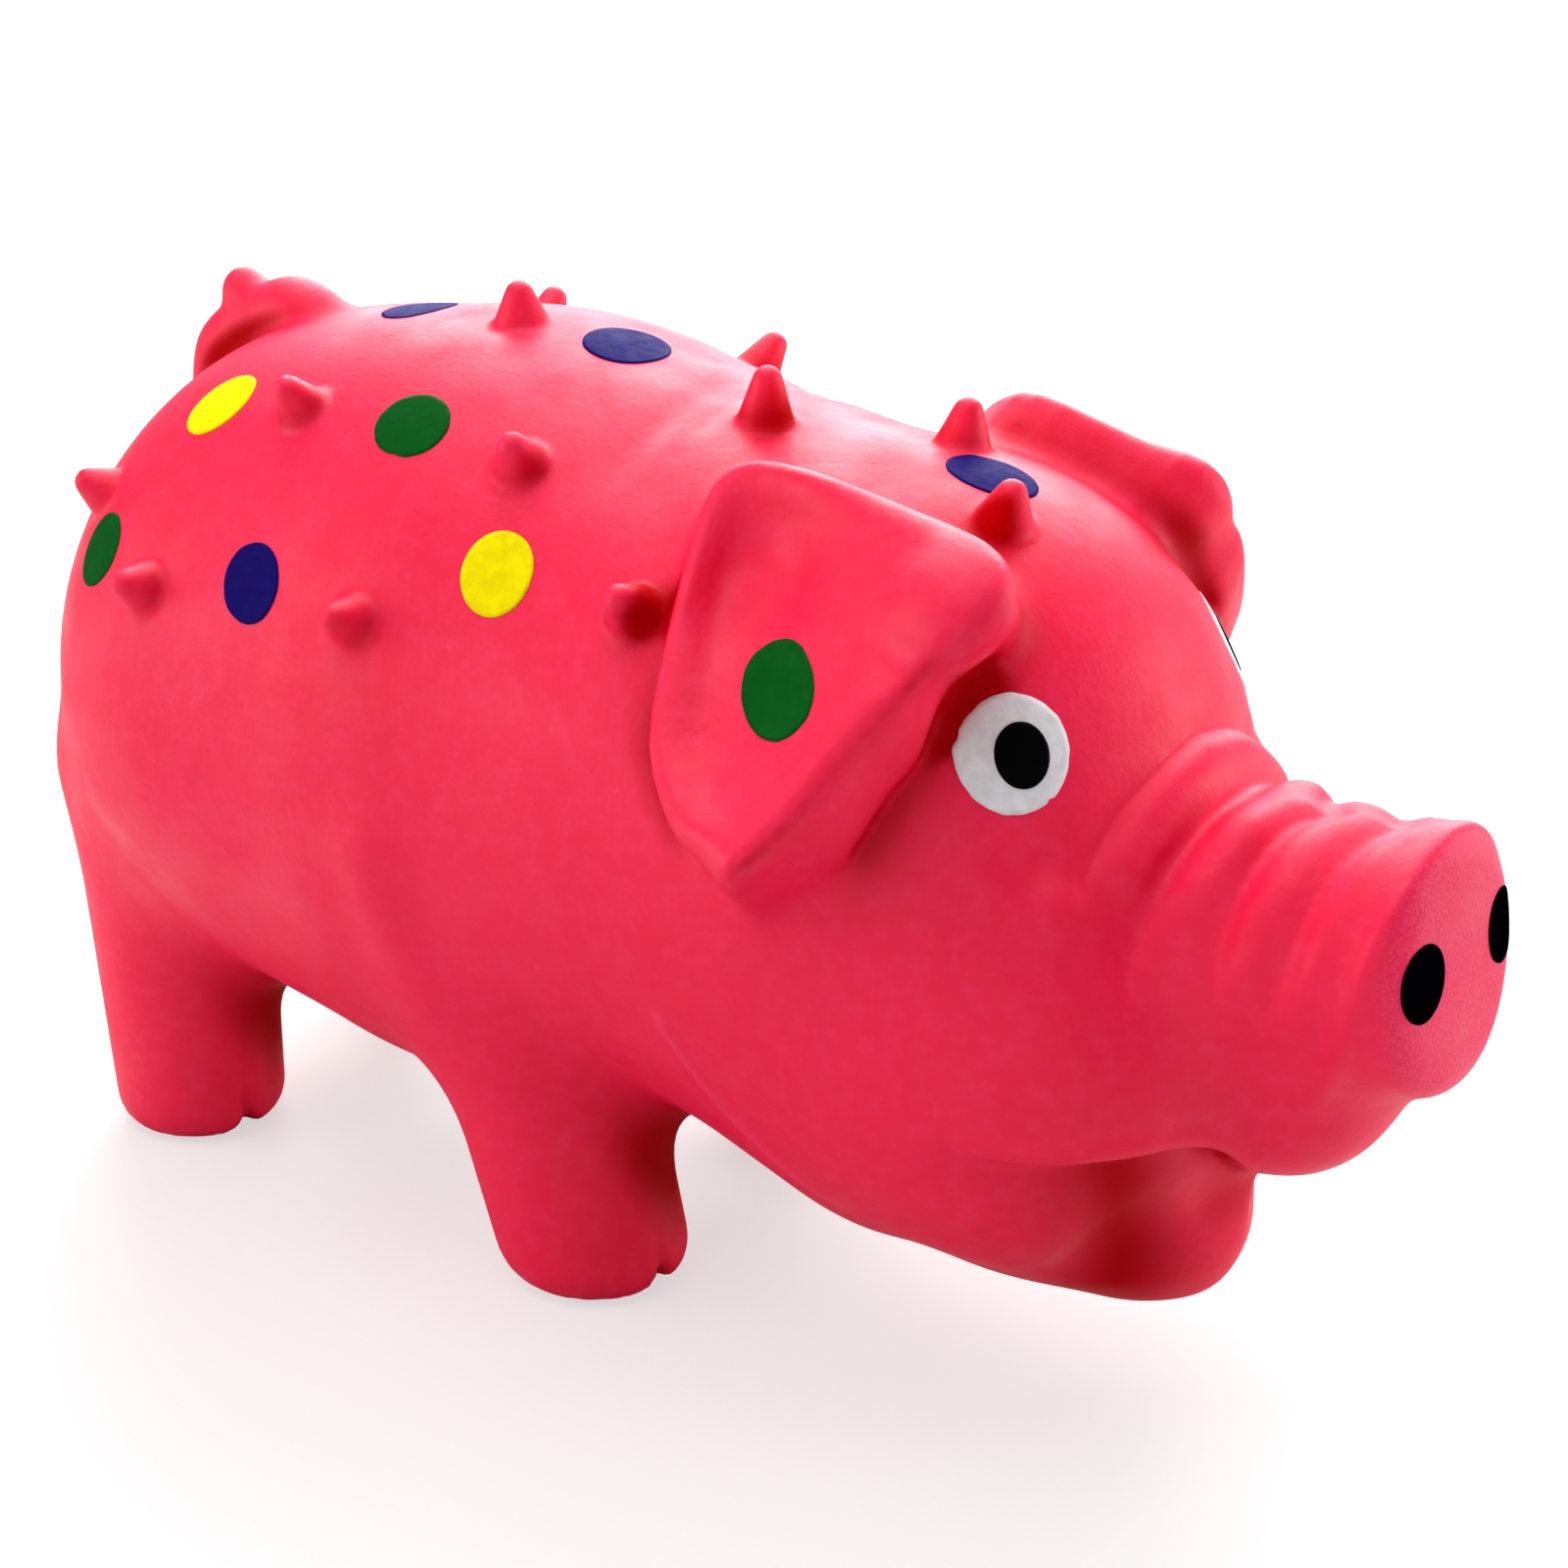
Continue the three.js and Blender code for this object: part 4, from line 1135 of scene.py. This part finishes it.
class PIG_OT_squeaker(bpy.types.Operator):
    """Finish the squeaker's barrel, grille, plate, ring, clamp and reed"""

    bl_idname = "pig_toy.squeaker"
    bl_label = "Squeaker"

    def execute(self, context):
        ivory = plastic_material("squeaker_plastic", linear(240, 236, 224))
        looks = {**dict.fromkeys(PLASTIC_PIECES, ivory), "reed_tongue": brass_material()}
        for name, material in looks.items():
            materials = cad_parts[name].data.materials
            materials.clear()
            materials.append(material)
        return {"FINISHED"}


class PIG_OT_stuffing(bpy.types.Operator):
    """Fill the body and the head with loose fibre"""

    bl_idname = "pig_toy.stuffing"
    bl_label = "Fibre Stuffing"

    def execute(self, context):
        mesh = bmesh.new()
        add_ball(mesh, *TORSO, 5)
        for at, radii, _ in MASSES:
            add_ball(mesh, at, radii)
        piece = remeshed(new_piece("wadding", mesh, wadding_material()), 3)

        def to_filling(points):
            body = to_body(points) - relief(points)
            lumps = np.sin(points @ (0.31, 0.17, 0.12)) * np.sin(points @ (-0.1, 0.33, 0.21))
            across = np.hypot(points[:, 0] - BOSS["x"], points[:, 1])
            pocket = np.maximum(across - BOSS["radius"] - POCKET_GAP, points[:, 2] - HOUSING_LOW - POCKET_HEIGHT)
            return cut(body + WADDING_INSET + LUMP_HEIGHT * lumps, pocket, POCKET_BLEND)

        fitted(piece, to_filling, 4)
        finish_piece(piece, "fibre_stuffing")
        return {"FINISHED"}


class PIG_OT_stage(bpy.types.Operator):
    """Lay the floor and set the lamps, the world and the camera"""

    bl_idname = "pig_toy.stage"
    bl_label = "Stage"

    def execute(self, context):
        scene, stage = context.scene, context.scene.pig_stage
        mesh = bmesh.new()
        bmesh.ops.create_circle(mesh, cap_ends=True, segments=stage.segments, radius=FLOOR_RADIUS)
        floor = new_piece("floor", mesh, floor_material())
        target = Vector(TARGET)
        a, e = stage.azimuth, stage.elevation
        way = Vector((math.sin(a) * math.cos(e), -math.cos(a) * math.cos(e), math.sin(e)))
        camera = bpy.data.objects.new("camera", bpy.data.cameras.new("camera"))
        camera.data.lens = stage.lens
        camera.data.sensor_width = 36
        camera.data.clip_start = 0.01
        camera.location = target + way * stage.distance
        camera.rotation_euler = (-way).to_track_quat("-Z", "Y").to_euler()
        scene.collection.objects.link(camera)
        scene.camera = camera
        for name, (at, size, power) in LAMPS.items():
            lamp = bpy.data.objects.new(name, bpy.data.lights.new(name, "AREA"))
            lamp.data.size = size
            lamp.data.energy = power
            lamp.location = at
            lamp.rotation_euler = (target - Vector(at)).to_track_quat("-Z", "Y").to_euler()
            scene.collection.objects.link(lamp)
        world = bpy.data.worlds.new("studio")
        scene.world = world
        world.use_nodes = True
        tree = world.node_tree
        tree.nodes.clear()
        rays = add_node(tree, "ShaderNodeLightPath")
        soft = add_node(tree, "ShaderNodeBackground", {"Color": (1, 1, 1, 1), "Strength": WORLD_LIGHT})
        white = add_node(tree, "ShaderNodeBackground", {"Color": (1, 1, 1, 1), "Strength": 1.0})
        mix = add_node(
            tree, "ShaderNodeMixShader",
            {0: rays.outputs["Is Camera Ray"], 1: soft.outputs[0], 2: white.outputs[0]},
        )
        out = add_node(tree, "ShaderNodeOutputWorld")
        tree.links.new(mix.outputs[0], out.inputs["Surface"])
        scene.view_settings.view_transform = "Standard"
        return {"FINISHED"}


class PIG_PT_panel(bpy.types.Panel):
    """Lists the toy's pieces and settings"""

    bl_idname = "PIG_PT_panel"
    bl_label = "Squeaky Pig Toy"
    bl_space_type = "VIEW_3D"
    bl_region_type = "UI"
    bl_category = "Pig Toy"

    def draw(self, context):
        for operator in OPERATORS:
            self.layout.operator(operator.bl_idname)
        for settings in (context.scene.pig_skin, context.scene.pig_paint, context.scene.pig_stage):
            for name in settings.__annotations__:
                self.layout.prop(settings, name)


OPERATORS = (PIG_OT_skin, PIG_OT_eyes, PIG_OT_nostrils, PIG_OT_spots, PIG_OT_squeaker, PIG_OT_stuffing, PIG_OT_stage)
SETTINGS = {"pig_skin": PigSkinSettings, "pig_paint": PigPaintSettings, "pig_stage": PigStageSettings}


def register():
    for group in (*SETTINGS.values(), *OPERATORS, PIG_PT_panel):
        bpy.utils.register_class(group)
    for name, settings in SETTINGS.items():
        setattr(bpy.types.Scene, name, PointerProperty(type=settings))


def unregister():
    for name in SETTINGS:
        delattr(bpy.types.Scene, name)
    for group in (PIG_PT_panel, *reversed(OPERATORS), *SETTINGS.values()):
        bpy.utils.unregister_class(group)


def main():
    register()
    bpy.ops.pig_toy.skin()
    bpy.ops.pig_toy.eyes()
    bpy.ops.pig_toy.nostrils()
    bpy.ops.pig_toy.spots()
    bpy.ops.pig_toy.squeaker()
    bpy.ops.pig_toy.stuffing()
    bpy.ops.pig_toy.stage()


if __name__ == "__main__":
    main()
